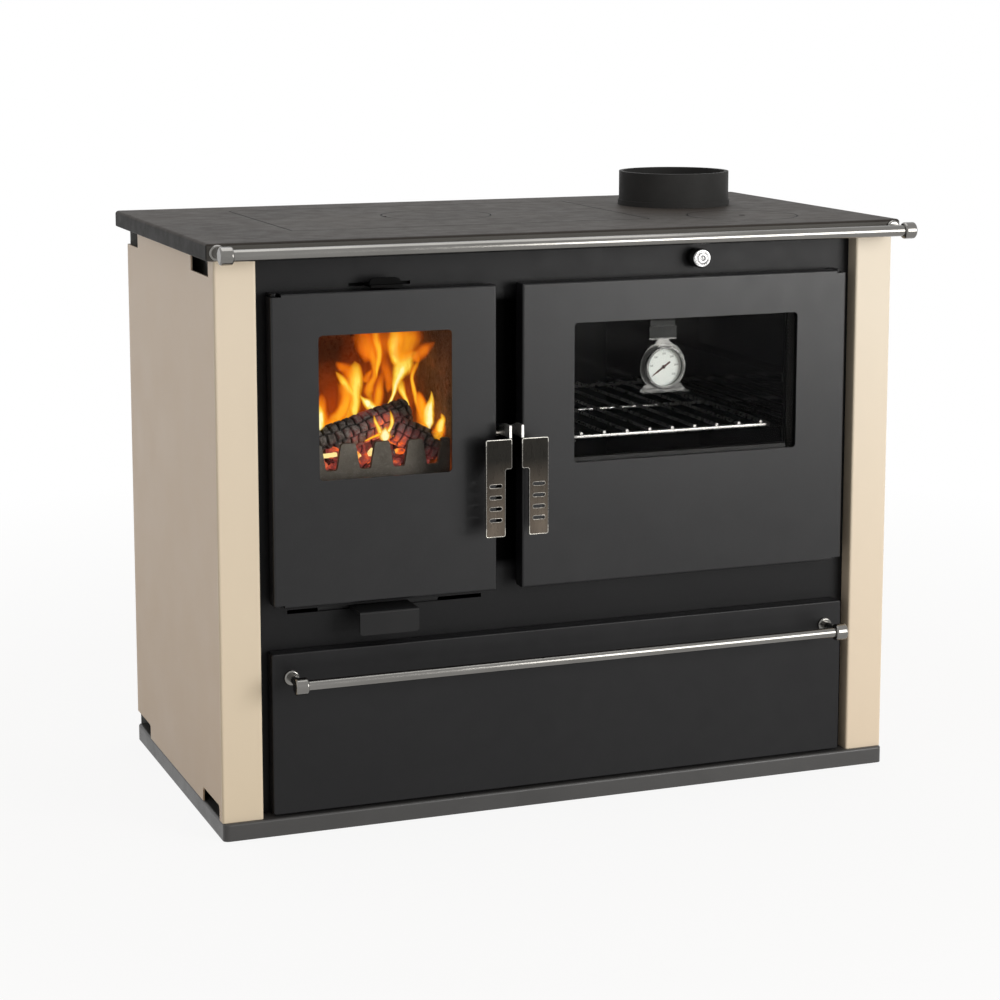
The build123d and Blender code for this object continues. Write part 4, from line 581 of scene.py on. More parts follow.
flames = {
    "around": 16,
    "along": 30,
    "flatness": 0.32,
    "spread": 1.3,
    "thinnest": 0.0004,
    "opening": 2.2,     # how soon a tongue is at full width
    "brightness": 1.15,
    "colours": [
        (0.1, (0.14, 0.01, 0.001)), (0.24, (0.5, 0.06, 0.003)), (0.4, (1.0, 0.19, 0.005)),
        (0.58, (1.0, 0.36, 0.012)), (0.76, (1.0, 0.56, 0.035)), (0.9, (1.0, 0.76, 0.12)),
        (1.0, (1.0, 0.93, 0.5)),
    ],
    # Depth, heat, then the centre line: x, z and half width. Lengths are in tenths of a
    # millimetre, and x and z are counted from the foot
    "unit": 0.0001,
    "foot": (-0.22, 0.45),
    "tongues": [
        (-1500, 1.0, [(-783, 283, 50), (-783, 417, 57), (-783, 525, 46), (-790, 619, 17)]),
        (-1100, 0.55, [(-664, 194, 87), (-636, 327, 87), (-643, 464, 72), (-636, 599, 58),
         (-643, 694, 20)]),
        (-1100, 0.62, [(-551, 186, 65), (-501, 299, 87), (-409, 408, 76), (-338, 527, 65),
         (-324, 635, 70), (-380, 733, 61), (-451, 806, 15)]),
        (-900, 0.88, [(-104, 260, 26), (-147, 387, 56), (-136, 523, 70), (-147, 661, 88),
         (-133, 798, 91), (-130, 921, 76), (-136, 990, 59), (-144, 1045, 15)]),
        (-920, 0.85, [(-189, 598, 44), (-254, 712, 56), (-325, 825, 47), (-411, 926, 9)]),
        (-800, 0.45, [(-159, 798, 88), (-217, 911, 88), (-317, 971, 59), (-360, 1029, 15)]),
        (-950, 1.0, [(168, 334, 18), (96, 414, 53), (2, 496, 59), (-70, 568, 23),
         (-113, 626, 7)]),
        (-550, 0.55, [(224, 418, 59), (151, 547, 82), (168, 657, 62), (231, 765, 45),
         (227, 891, 48), (209, 1017, 71), (151, 1117, 126), (90, 1231, 152), (70, 1360, 150),
         (50, 1550, 140)]),
        (-580, 0.72, [(246, 741, 24), (252, 866, 30), (273, 990, 45), (273, 1115, 51),
         (243, 1242, 62), (236, 1362, 66), (230, 1540, 60)]),
        (-900, 0.95, [(184, 366, 9), (307, 476, 21), (365, 590, 27), (390, 713, 50),
         (438, 848, 91), (510, 954, 125), (569, 1034, 92), (656, 1092, 47), (678, 1139, 12)]),
        (-850, 0.86, [(469, 894, 81), (418, 1035, 74), (389, 1175, 81), (410, 1284, 96),
         (415, 1390, 100), (410, 1560, 90)]),
        (-1000, 0.55, [(441, 987, 132), (455, 1110, 140), (484, 1219, 162), (513, 1334, 177),
         (528, 1430, 162), (532, 1570, 140)]),
        (-920, 0.9, [(591, 331, 12), (533, 486, 24), (485, 586, 41), (453, 684, 56),
         (441, 795, 65)]),
        (-1250, 0.72, [(661, 189, 44), (625, 356, 41), (560, 524, 38), (514, 691, 29),
         (488, 829, 26), (517, 937, 35), (567, 1030, 29), (574, 1126, 9)]),
        (-1580, 1.0, [(606, 222, 61), (591, 345, 75), (591, 453, 72), (623, 573, 46),
         (632, 668, 17), (620, 723, 6)]),
        (-1500, 0.6, [(561, 401, 65), (533, 512, 58), (504, 622, 44), (483, 705, 9)]),
        (-1780, 0.9, [(658, 212, 49), (673, 306, 55), (706, 391, 37), (677, 467, 9)]),
        (-1620, 0.95, [(-41, 203, 32), (-69, 285, 32), (-116, 389, 20), (-133, 471, 6)]),
        (-1620, 0.95, [(23, 212, 23), (94, 315, 29), (98, 416, 23), (72, 519, 6)]),
        (-1660, 1.15, [(-2, 126, 34), (-4, 200, 75), (-2, 261, 43), (7, 321, 11)]),
        (-450, 0.4, [(124, 923, 90), (183, 1046, 180), (280, 1136, 260), (340, 1210, 300),
         (350, 1332, 320), (350, 1550, 300)]),
        (-840, 0.6, [(-300, 120, 80), (-240, 360, 110), (-190, 680, 130), (-160, 1000, 80)]),
        (-860, 0.58, [(80, 280, 60), (150, 460, 70), (200, 700, 60), (230, 900, 30)]),
        (-1460, 0.58, [(590, 180, 90), (570, 360, 100), (530, 560, 70), (500, 720, 30)]),
        (-1120, 0.6, [(-760, 140, 80), (-660, 220, 90), (-540, 280, 80), (-420, 360, 40)]),
        (-1740, 0.62, [(600, 140, 70), (660, 200, 80), (710, 260, 60), (730, 340, 20)]),
        (-200, 0.22, [(-320, 50, 150), (-290, 350, 230), (-240, 650, 200), (-280, 1000, 120)]),
        (0, 0.24, [(0, 50, 160), (20, 450, 200), (80, 850, 180), (80, 1300, 140)]),
        (-100, 0.25, [(300, 50, 180), (320, 500, 220), (300, 950, 200), (320, 1550, 200)]),
        (-700, 0.24, [(-450, 50, 160), (-420, 300, 220), (-360, 550, 200), (-380, 850, 110)]),
        (-800, 0.27, [(560, 50, 100), (570, 350, 130), (600, 650, 120), (610, 950, 70)]),
        (-1400, 0.45, [(452, 1045, 44), (538, 1149, 87), (639, 1226, 73), (754, 1295, 18)]),
        (-520, 0.42, [(409, 527, 45), (431, 665, 60), (409, 806, 75), (380, 947, 89),
         (358, 1074, 104)]),
        (-600, 0.5, [(77, 698, 59), (135, 806, 44), (193, 872, 15)]),
        (-1640, 0.75, [(-273, 141, 11), (-167, 187, 17), (-69, 221, 20), (-26, 245, 9)]),
        (-1640, 0.8, [(257, 65, 12), (172, 152, 17), (87, 211, 20), (30, 242, 9)]),
    ],
}


def flameTongue(bm, depth, heat, line, layers):
    along, unit, (left, low) = flames["along"], flames["unit"], flames["foot"]
    centres = [(left + x * unit, low + z * unit, half * unit)
               for x, z, half in smoothLine(line, along)]
    made = bmesh.ops.create_uvsphere(
        bm, u_segments=flames["around"], v_segments=along, radius=1
    )["verts"]
    for vert in made:
        ring = math.hypot(vert.co.x, vert.co.y)
        step = round(math.acos(max(-1, min(1, -vert.co.z))) / math.pi * along)
        atPole = ring < 1e-4
        sideways, deep = (0, 0) if atPole else (vert.co.x / ring, vert.co.y / ring)
        x, z, half = centres[step]
        ahead, before = centres[min(step + 1, along)], centres[max(step - 1, 0)]
        rise = Vector((ahead[0] - before[0], ahead[1] - before[1])).normalized()
        half = max(half, flames["thinnest"]) * flames["spread"] * min(1, flames["opening"] * ring)
        vert[layers["core"]] = abs(deep)
        vert[layers["rise"]] = step / along
        vert[layers["burning"]] = heat
        vert.co = Vector((
            x + rise.y * sideways * half,
            depth * unit + deep * half * flames["flatness"],
            z - rise.x * sideways * half,
        ))


def flameFinish():
    material, tree = newMaterial("flameGlow")
    core, rise, burning = attributesOf(tree, "core", "rise", "burning")
    streaks = noiseAt(tree, objectPoint(tree, (1, 1, 0.3)), 110, 3, 0.55, 0.8)
    ragged = times(tree, combine(tree, "SUBTRACT", streaks, 0.5), 0.9)
    body = combine(tree, "ADD", combine(tree, "POWER", core, 3.2), ragged)
    ends = times(tree, remap(tree, rise, 0.58, 1.0, 1, 0),
                   remap(tree, rise, 0.0, 0.16))
    opacity = times(tree, remap(tree, body, 0.05, 0.95), ends)
    opacity = times(tree, opacity, remap(tree, burning, 0.25, 0.9, 0.2, 0.95))
    heat = times(tree, burning, remap(tree, body, 0.0, 0.95, 0.42, 1.02))
    heat = times(tree, heat, remap(tree, rise, 0.55, 1.0, 1, 0.62))
    glow = addNode(tree, "Emission", {
        "Color": colourRamp(tree, heat, flames["colours"]), "Strength": flames["brightness"],
    })
    outputTo(tree, mixShaders(tree, opacity, addNode(tree, "BsdfTransparent"), glow))
    return material


def makeFlames():
    bm = bmesh.new()
    layers = addLayers(bm, "core", "rise", "burning")
    for depth, heat, line in flames["tongues"]:
        flameTongue(bm, depth, heat, line, layers)
    facesOut(bm)
    addPiece("flames", bm, flameFinish(), "stove_body")


# Charred logs: cylinders cracked into blocks, with a glow that is strongest near the heart of the
# fire

logs = {
    "around": 96,
    "ringPitch": 0.0011,
    "crackWidth": 0.0021,
    "crackDepth": 0.0042,
    "seamShare": 1.6,               # cracks along a log are narrower by this
    "seamWander": (0.02, 60),       # how far, and the noise's scale
    "cutWander": (0.0022, 95),
    "lumps": [(0.1, 28), (0.03, 160)],
    "endReach": 0.006, "endDrop": 0.18,
    "leastShare": 0.6,
    "heart": (-0.22, -0.156, 0.46),
    "heartReach": 0.058,
    "heartGlow": 0.92, "crackCooling": 0.55,
    "underGlow": 0.16, "underReach": 0.02,
    "crust": {"crust": (0.072, 0.064, 0.058), "ash": (0.21, 0.195, 0.185), "ashFrom": 0.44,
              "heatGain": 0.8},
    # Start, end, radius, length of the blocks, how many round the log, and seed
    "pieces": [
        ((-0.327, -0.15, 0.4535), (-0.18, -0.132, 0.4925), 0.019, 0.0112, 8, 3),
        ((-0.208, -0.152, 0.478), (-0.15, -0.166, 0.45), 0.018, 0.0098, 8, 11),
        ((-0.32, -0.09, 0.442), (-0.162, -0.1, 0.44), 0.024, 0.014, 6, 21),
        ((-0.29, -0.03, 0.44), (-0.235, 0.084, 0.436), 0.0235, 0.015, 6, 31),
        ((-0.19, -0.04, 0.438), (-0.185, 0.08, 0.437), 0.0225, 0.015, 6, 41),
    ],
}


def uprightEdges(verts, height):
    return [e for e in {e for v in verts for e in v.link_edges}
            if abs(e.verts[0].co.z - e.verts[1].co.z) > height / 2]


def toNearest(value):
    return min(value % 1, 1 - value % 1)


def wandering(spot, reach, scale):
    return reach * noise.noise(spot * scale)


def charredLog(bm, layers, start, end, radius, block, strips, seed):
    start, end = Vector(start), Vector(end)
    length = (end - start).length
    made = bmesh.ops.create_cone(
        bm, cap_ends=True, segments=logs["around"], radius1=radius, radius2=radius, depth=length
    )["verts"]
    bmesh.ops.subdivide_edges(
        bm, edges=uprightEdges(made, length), cuts=int(length / logs["ringPitch"])
    )
    body = [v for v in bm.verts if not v[layers["done"]]]
    shifts = random.Random(seed)
    rowShift = [shifts.random() for strip in range(strips)]
    heart = Vector(logs["heart"])
    turn = (end - start).to_track_quat("Z", "Y").to_matrix()
    middle = (start + end) / 2
    for vert in body:
        angle = math.atan2(vert.co.y, vert.co.x)
        along = vert.co.z + length / 2
        spot = vert.co + Vector((seed, 0, 0))
        around = (angle / (2 * math.pi) + 0.5 + wandering(spot, *logs["seamWander"])) * strips
        fromSeam = toNearest(around) * 2 * math.pi * radius / strips
        run = (along + wandering(spot, *logs["cutWander"])) / block + rowShift[int(around) % strips]
        fromCut = toNearest(run) * block
        crack = max(0, 1 - min(fromCut, fromSeam * logs["seamShare"]) / logs["crackWidth"])
        crack = crack * crack * (3 - 2 * crack)
        width = 1 + sum(wandering(spot, *lump) for lump in logs["lumps"])
        fromEnd = min(along, length - along) / logs["endReach"]
        rounding = min(1, 1 + logs["endDrop"] * (fromEnd - 1))
        wanted = max(radius * width * rounding - logs["crackDepth"] * crack,
                     radius * logs["leastShare"])
        rim = math.hypot(vert.co.x, vert.co.y)
        vert.co.x *= wanted / rim
        vert.co.y *= wanted / rim
        vert.co = middle + turn @ vert.co
        near = math.exp(-((vert.co - heart).length / logs["heartReach"]) ** 2)
        under = max(0, min(1, (heart.z - vert.co.z) / logs["underReach"] + 0.5))
        vert[layers["crack"]] = crack
        vert[layers["glow"]] = (near * (logs["heartGlow"] - logs["crackCooling"] * crack)
                                + logs["underGlow"] * under)
        vert[layers["done"]] = 1
    bmesh.ops.poke(bm, faces=[f for f in bm.faces if len(f.verts) > 4])
    for vert in bm.verts:
        vert[layers["done"]] = 1


# Char and embers share one finish: a dark crust with pale ash on it, and heat from the attribute
charColours = [
    (0.24, (0.0, 0.0, 0.0)), (0.44, (0.07, 0.014, 0.014)), (0.6, (0.28, 0.045, 0.035)),
    (0.78, (0.95, 0.14, 0.02)), (0.92, (1.0, 0.45, 0.06)), (1.0, (1.0, 0.8, 0.32)),
]
crackSoot = (0.006, 0.005, 0.005)


def charFinish(name, crust, ash, ashFrom, heatGain):
    material, tree = newMaterial(name)
    glow, crack = attributesOf(tree, "glow", "crack")
    point = objectPoint(tree)
    flakes = noiseAt(tree, point, 170, 4, 0.65)
    patches = noiseAt(tree, point, 55, 3, 0.6)
    raised = combine(tree, "SUBTRACT", flakes, times(tree, crack, 0.5))
    dusting = remap(tree, raised, ashFrom, ashFrom + 0.16)
    base = mixColour(tree, dusting, crust, ash)
    base = mixColour(tree, times(tree, crack, 0.8), base, crackSoot)
    wander = times(tree, combine(tree, "SUBTRACT", patches, 0.5), 0.9)
    heat = combine(tree, "ADD", times(tree, glow, heatGain), wander)
    heat = combine(tree, "SUBTRACT", heat, times(tree, dusting, 0.18), clamp=True)
    coverWith(tree, {
        "Base Color": base, "Roughness": remap(tree, flakes, *noiseMiddle, 0.72, 0.95),
        "Emission Color": colourRamp(tree, heat, charColours), "Emission Strength": 1.1,
        "Normal": bumpFrom(tree, flakes, 0.0006, 0.6),
    })
    return material


def makeLogs():
    bm = bmesh.new()
    layers = addLayers(bm, "glow", "crack", "done")
    for log in logs["pieces"]:
        charredLog(bm, layers, *log)
    bm.verts.layers.float.remove(layers["done"])
    facesOut(bm)
    finish = charFinish("charredWood", **logs["crust"])
    piece = addPiece("charredLogs", bm, finish, "stove_body")
    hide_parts("fuel_logs")


# Embers heaped behind the retainer, and the ash under them

embers = {
    "seed": 5,
    "count": 130,
    "left": -0.333, "right": -0.15,
    "front": -0.1855, "back": -0.118,
    "low": 0.416, "top": 0.4585, "slope": 0.25,
    "radius": (0.0042, 0.0085),
    "crowding": 1.6,                                    # most lie near the retainer
    "stretch": [(0.8, 1.25), (0.75, 1.0), (0.6, 0.95)],
    "spin": 0.8,
    "lumps": (0.28, 190), "chips": (0.14, 260),
    "heat": (0.42, 0.55),                               # the least, and what chance adds
    "hottest": -0.225, "coolReach": 0.11, "cooling": 0.45,
    "lowShare": 0.62, "topShare": 0.45,
}


def makeEmbers():
    pick = random.Random(embers["seed"])
    front, low, rise = embers["front"], embers["low"], embers["top"] - embers["low"]
    bm = bmesh.new()
    layers = addLayers(bm, "glow", "crack")
    for index in range(embers["count"]):
        size = pick.uniform(*embers["radius"])
        share = pick.random() ** embers["crowding"]
        y = front + size * 1.1 + share * (embers["back"] - front)
        top = embers["top"] - embers["slope"] * (y - front)
        spot = Vector((
            pick.uniform(embers["left"] + size, embers["right"] - size), y, pick.uniform(low, top),
        ))
        made = bmesh.ops.create_icosphere(bm, subdivisions=2, radius=size)["verts"]
        stretch = [pick.uniform(*limits) for limits in embers["stretch"]]
        spin = Matrix.Rotation(pick.uniform(-embers["spin"], embers["spin"]), 3, "Y")
        heat = embers["heat"][0] + embers["heat"][1] * pick.random()
        aside = min(1, abs(spot.x - embers["hottest"]) / embers["coolReach"])
        heat *= 1 - embers["cooling"] * aside
        heat *= embers["lowShare"] + embers["topShare"] * (spot.z - low) / rise
        seed = Vector((index, 0, 0))
        for vert in made:
            (lump, lumpScale), (chip, chipScale) = embers["lumps"], embers["chips"]
            swell = 1 + lump * noise.noise(vert.co * lumpScale + seed)
            swell -= chip * noise.cell(vert.co * chipScale + seed)
            shaped = Vector(a * b for a, b in zip(vert.co * swell, stretch))
            vert.co = spot + spin @ shaped
            vert.co.y = max(vert.co.y, front + 0.0003)
            vert[layers["glow"]] = heat
            vert[layers["crack"]] = 0
    finish = charFinish("emberCrust", (0.014, 0.01, 0.009), (0.16, 0.14, 0.13), 0.5, 1.15)
    addPiece("embers", bm, finish, "stove_body")


hotSplinter = {
    "place": (-0.2971, -0.1822, 0.4535),
    "size": (0.0196, 0.005, 0.0052),
    "tilt": 0.07,
    "bevel": 0.0009,
    "cuts": 7, "longEdge": 0.01,
    "ripple": (0.0007, 300),
    "heat": 1.35,
}


def makeHotSplinter():
    bm = bmesh.new()
    layers = addLayers(bm, "glow", "crack")
    bmesh.ops.create_cube(bm, size=1)
    bmesh.ops.scale(bm, verts=bm.verts, vec=hotSplinter["size"])
    bmesh.ops.bevel(bm, geom=bm.edges[:], offset=hotSplinter["bevel"], segments=2, affect="EDGES",
                    profile=0.5, material=-1)
    lengthwise = [e for e in bm.edges if e.calc_length() > hotSplinter["longEdge"]]
    bmesh.ops.subdivide_edges(bm, edges=lengthwise, cuts=hotSplinter["cuts"])
    for vert in bm.verts:
        vert.co += Vector((0, 0, wandering(vert.co, *hotSplinter["ripple"])))
        vert[layers["glow"]] = hotSplinter["heat"]
    turnVerts(bm, -hotSplinter["tilt"], "Y")
    moveVerts(bm, hotSplinter["place"])
    finish = charFinish("whiteHotWood", (0.02, 0.015, 0.012), (0.2, 0.18, 0.16), 0.9, 1.0)
    addPiece("hotSplinter", bm, finish, "stove_body")


ashBed = {
    "left": -0.3362, "right": -0.145, "front": -0.1858, "back": 0.1722,
    "low": 0.4123, "depth": 0.006, "swell": 0.005,
    "heaps": [(1, 22), (0.4, 90)], "lowest": -0.9,
    "columns": 46, "rows": 80,
    "heat": 0.35, "hottest": -0.225, "heatReach": 0.06,
}


def makeAshBed():
    wide, deep = ashBed["right"] - ashBed["left"], ashBed["back"] - ashBed["front"]
    bm = bmesh.new()
    layers = addLayers(bm, "glow", "crack")
    bmesh.ops.create_grid(bm, x_segments=ashBed["columns"], y_segments=ashBed["rows"], size=0.5)
    bmesh.ops.scale(bm, verts=bm.verts, vec=(wide, deep, 1))
    moveVerts(bm, (ashBed["left"] + wide / 2, ashBed["front"] + deep / 2, ashBed["low"]))
    top = bmesh.ops.extrude_face_region(bm, geom=bm.faces[:])["geom"]
    for vert in onlyVerts(top):
        heap = sum(wandering(vert.co, *size) for size in ashBed["heaps"])
        vert.co.z += ashBed["depth"] + ashBed["swell"] * max(ashBed["lowest"], heap)
        aside = (vert.co.x - ashBed["hottest"]) / ashBed["heatReach"]
        vert[layers["glow"]] = ashBed["heat"] * math.exp(-aside ** 2)
    facesOut(bm)
    finish = charFinish("ashPile", (0.06, 0.052, 0.048), (0.26, 0.24, 0.22), 0.4, 0.9)
    addPiece("ashBed", bm, finish, "stove_body")


# Thermometer: scale marks, plain numbers and a hub cap

dialMarks = {
    "centre": (0.14595, 0.5385),
    "front": -0.1829,
    "startAngle": 215, "sweep": 250,
    "steps": 30, "longEvery": 5,
    "outer": 0.0216, "short": 0.0012, "long": 0.0022,
    "thick": 0.00034, "raised": 0.00005,
    "numbers": ["0", "50", "100", "150", "200", "250", "300"],
    "numberRadius": 0.0168, "numberSize": 0.0036, "curveSteps": 2,
}


def dialAngle(share):
    return math.radians(dialMarks["startAngle"] - dialMarks["sweep"] * share)


def onDial(bm, verts, angle, radius, upright=False):
    # From a flat shape round the origin to its place on the dial
    if not upright:
        turnVerts(bm, angle, "Z", verts)
    moveVerts(bm, (radius * math.cos(angle), radius * math.sin(angle), 0), verts)
    turnVerts(bm, quarterTurn, "X", verts)
    x, z = dialMarks["centre"]
    moveVerts(bm, (x, dialMarks["front"], z), verts)


def numberMesh(number):
    curve = bpy.data.curves.new("dialNumber", "FONT")
    curve.body = number
    curve.size = dialMarks["numberSize"]
    curve.extrude = dialMarks["raised"]
    curve.align_x = curve.align_y = "CENTER"
    curve.resolution_u = dialMarks["curveSteps"]
    shown = showObject("dialNumber", curve)
    bpy.context.view_layer.update()
    flat = bpy.data.meshes.new_from_object(
        shown.evaluated_get(bpy.context.evaluated_depsgraph_get())
    )
    bpy.data.objects.remove(shown)
    bpy.data.curves.remove(curve)
    return flat


def makeDialMarks():
    bm = bmesh.new()
    for step in range(dialMarks["steps"] + 1):
        length = dialMarks["short"] if step % dialMarks["longEvery"] else dialMarks["long"]
        made = bmesh.ops.create_cube(bm, size=1)["verts"]
        bmesh.ops.scale(bm, verts=made, vec=(length, dialMarks["thick"], 2 * dialMarks["raised"]))
        onDial(bm, made, dialAngle(step / dialMarks["steps"]), dialMarks["outer"] - length / 2)
    spread = len(dialMarks["numbers"]) - 1
    for index, number in enumerate(dialMarks["numbers"]):
        flat = numberMesh(number)
        before = set(bm.verts)
        bm.from_mesh(flat)
        made = [v for v in bm.verts if v not in before]
        onDial(bm, made, dialAngle(index / spread), dialMarks["numberRadius"], True)
        bpy.data.meshes.remove(flat)
    addPiece("dialMarks", bm, finishes["dialInk"], "stove_body", smooth=False)


hubCap = {"radius": 0.0021, "height": 0.0011, "rear": -0.18365, "segments": 28}
domeProfile = [(0, 1), (0.5, 0.88), (0.85, 0.55), (1, 0.12), (1, 0), (0, 0)]


def turned(bm, corners, segments):
    # A closed shape round Z, from a profile that starts and ends on the axis
    verts = [bm.verts.new((x, 0, z)) for x, z in corners]
    edges = [bm.edges.new(pair) for pair in zip(verts, verts[1:])]
    bmesh.ops.spin(
        bm, geom=verts + edges, cent=(0, 0, 0), axis=(0, 0, 1), angle=2 * math.pi, steps=segments,
        use_merge=True,
    )


def dome(bm, radius, height, segments):
    turned(bm, [(radius * out, height * up) for out, up in domeProfile], segments)


def makeHubCap():
    bm = bmesh.new()
    dome(bm, hubCap["radius"], hubCap["height"], hubCap["segments"])
    turnVerts(bm, quarterTurn, "X")
    x, z = dialMarks["centre"]
    moveVerts(bm, (x, hubCap["rear"], z))
    mergeDoubles(bm)
    facesOut(bm)
    addPiece("pointerHub", bm, finishes["pointerPaint"], "pointer")


# The knob's turned face: a crowned disc with a groove near its rim and one round its middle

knobFace = {
    "segments": 48,
    "profile": [(0, 0.0008), (0.0011, 0.0007), (0.0015, 0.0002), (0.0021, 0.0002),
                (0.0025, 0.0009), (0.0052, 0.0008), (0.0074, 0.0005), (0.0077, 0.0001),
                (0.0083, 0.0001), (0.0086, 0.0005), (0.0096, 0.0001), (0.0096, -0.0003),
                (0, -0.0003)],
}


def makeKnobFace():
    low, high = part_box("damper_knob")
    bm = bmesh.new()
    turned(bm, knobFace["profile"], knobFace["segments"])
    mergeDoubles(bm)
    facesOut(bm)
    turnVerts(bm, quarterTurn, "X")
    moveVerts(bm, ((low[0] + high[0]) / 2, low[1], (low[2] + high[2]) / 2))
    addPiece("knobFace", bm, finishes["knobChrome"], "flue_damper")


# Raised rims that are pressed round the slots in both handles

slotRims = {
    "front": -0.2625,
    "columns": {"firebox_door_handle": -0.1119, "oven_door_handle": -0.0559},
    "top": 0.417, "pitch": 0.014, "count": 4,
    "length": 0.0155, "height": 0.004,
    "width": 0.0022, "raised": 0.0008, "sunk": 0.0002, "inside": 0.0001,
    "profile": [(0.1, 0.8), (0.4, 1), (0.75, 0.7)],     # shares of the width and of the height
    "segments": 28,
}


def slotLoop(bm, growth, level):
    # A circle drawn out to a slot's shape, in the plane of the handle
    length, height = slotRims["length"] + growth, slotRims["height"] + growth
    made = bmesh.ops.create_circle(bm, segments=slotRims["segments"], radius=height / 2)["verts"]
    for vert in made:
        if abs(vert.co.x) > 1e-7:
            vert.co.x += math.copysign((length - height) / 2, vert.co.x)
        vert.co.z = level
    return list({edge for vert in made for edge in vert.link_edges})


def slotRim(bm, x, z):
    steps = [(-slotRims["inside"], -slotRims["sunk"])]
    steps += [(slotRims["width"] * out, slotRims["raised"] * up)
              for out, up in slotRims["profile"]]
    steps.append((slotRims["width"], -slotRims["sunk"]))
    loops = [slotLoop(bm, growth, level) for growth, level in steps]
    verts = list({vert for loop in loops for edge in loop for vert in edge.verts})
    for first, second in zip(loops, loops[1:] + loops[:1]):
        bmesh.ops.bridge_loops(bm, edges=first + second)
    turnVerts(bm, quarterTurn, "X", verts)
    moveVerts(bm, (x, slotRims["front"], z), verts)


def makeSlotRims():
    for body, x in slotRims["columns"].items():
        bm = bmesh.new()
        for index in range(slotRims["count"]):
            slotRim(bm, x, slotRims["top"] - index * slotRims["pitch"])
        facesOut(bm)
        addPiece(body + "_slotRims", bm, finishes["slotSteel"], body)


# Bright edges round the fronts of both handles: slanted rims in a lighter steel, with painted
# highlights along their top and bottom

handleEdges = {
    "wide": 0.001, "proud": 0.0004, "sunk": 0.0007,
    "flatness": 2e-5,                               # a front face lies this near the front
    "slotReach": 0.009765, "slotSpan": 0.004,       # no edge this near the slots
}


def makeHandleEdges():
    front, top = slotRims["front"], slotRims["top"]
    low = top - slotRims["pitch"] * (slotRims["count"] - 1)
    span = handleEdges["slotSpan"]
    for body, x in slotRims["columns"].items():
        side = body.split("_")[0]
        bm = bmesh.new()
        bm.from_mesh(nodes[side + "_handle"].data)
        mergeDoubles(bm)
        bmesh.ops.delete(bm, geom=[
            f for f in bm.faces
            if f.normal.y > -0.99
            or abs(f.calc_center_median().y - front) > handleEdges["flatness"]
        ], context="FACES")
        border = bmesh.ops.inset_region(
            bm, faces=bm.faces[:], thickness=handleEdges["wide"], depth=handleEdges["proud"],
            use_boundary=True, use_even_offset=True,
        )["faces"]
        kept = set()
        for face in border:
            spot = face.calc_center_median()
            aside = abs(spot.x - x) >= handleEdges["slotReach"]
            if aside or not low - span < spot.z < top + span:
                kept.add(face)
        bmesh.ops.delete(bm, geom=[f for f in bm.faces if f not in kept], context="FACES")
        back = bmesh.ops.extrude_face_region(bm, geom=bm.faces[:])["geom"]
        moveVerts(bm, (0, handleEdges["sunk"], 0), onlyVerts(back))
        facesOut(bm)
        addPiece(side + "HandleEdge", bm, finishes["edgeSteel"], body)


# The weld up the inside of the flue collar

weldSeam = {
    "centre": (0.284, 0.08995), "radius": 0.0745, "angle": 93,
    "low": 0.7215, "top": 0.765, "rings": 40, "bead": 0.0011, "segments": 10,
    "ripple": 0.16, "ripplePitch": 2300, "lumps": (0.2, 400),
}


def makeWeldSeam():
    bm = bmesh.new()
    height = weldSeam["top"] - weldSeam["low"]
    made = bmesh.ops.create_cone(
        bm, cap_ends=True, segments=weldSeam["segments"], radius1=weldSeam["bead"],
        radius2=weldSeam["bead"], depth=height,
    )["verts"]
    bmesh.ops.subdivide_edges(bm, edges=uprightEdges(made, height), cuts=weldSeam["rings"])
    for vert in bm.verts:
        swell = 1 + weldSeam["ripple"] * math.sin(vert.co.z * weldSeam["ripplePitch"])
        swell += wandering(vert.co, *weldSeam["lumps"])
        vert.co.x *= swell
        vert.co.y *= swell
    angle = math.radians(weldSeam["angle"])
    x, y = weldSeam["centre"]
    moveVerts(bm, (
        x + weldSeam["radius"] * math.cos(angle), y + weldSeam["radius"] * math.sin(angle),
        (weldSeam["low"] + weldSeam["top"]) / 2,
    ))
    addPiece("collarWeld", bm, finishes["flueIron"], "stove_body")


# Screw heads that hold the rear panel

rearScrews = {
    "face": 0.22715, "radius": 0.0042, "height": 0.0022, "segments": 24,
    "recess": 0.0008, "recessWidth": 0.0004, "crown": 0.8,
    "columns": [-0.425, -0.2125, 0.0, 0.2125, 0.425],
    "rows": [0.04, 0.205, 0.37, 0.535, 0.68],
}


def makeRearScrews():
    bm = bmesh.new()
    columns, rows = rearScrews["columns"], rearScrews["rows"]
    for x in columns:
        for z in rows:
            if x not in (columns[0], columns[-1]) and z not in (rows[0], rows[-1]):
                continue
            before = set(bm.verts)
            dome(bm, rearScrews["radius"], rearScrews["height"], rearScrews["segments"])
            made = [v for v in bm.verts if v not in before]
            for vert in made:
                # A cross recess pressed into the crown
                arm = min(abs(vert.co.x), abs(vert.co.y))
                onCrown = vert.co.z > rearScrews["height"] * rearScrews["crown"]
                if onCrown and arm < rearScrews["recessWidth"]:
                    vert.co.z -= rearScrews["recess"]
            turnVerts(bm, -quarterTurn, "X", made)
            moveVerts(bm, (x, rearScrews["face"], z), made)
    mergeDoubles(bm)
    facesOut(bm)
    addPiece("rearScrews", bm, finishes["wireChrome"], "stove_body")


makeLogs()
makeEmbers()
makeHotSplinter()
makeAshBed()
makeFlames()
makeDialMarks()
makeHubCap()
makeSlotRims()
makeKnobFace()
makeHandleEdges()
makeWeldSeam()
makeRearScrews()
print("pieces made")


# Camera, at the photograph's viewing angle

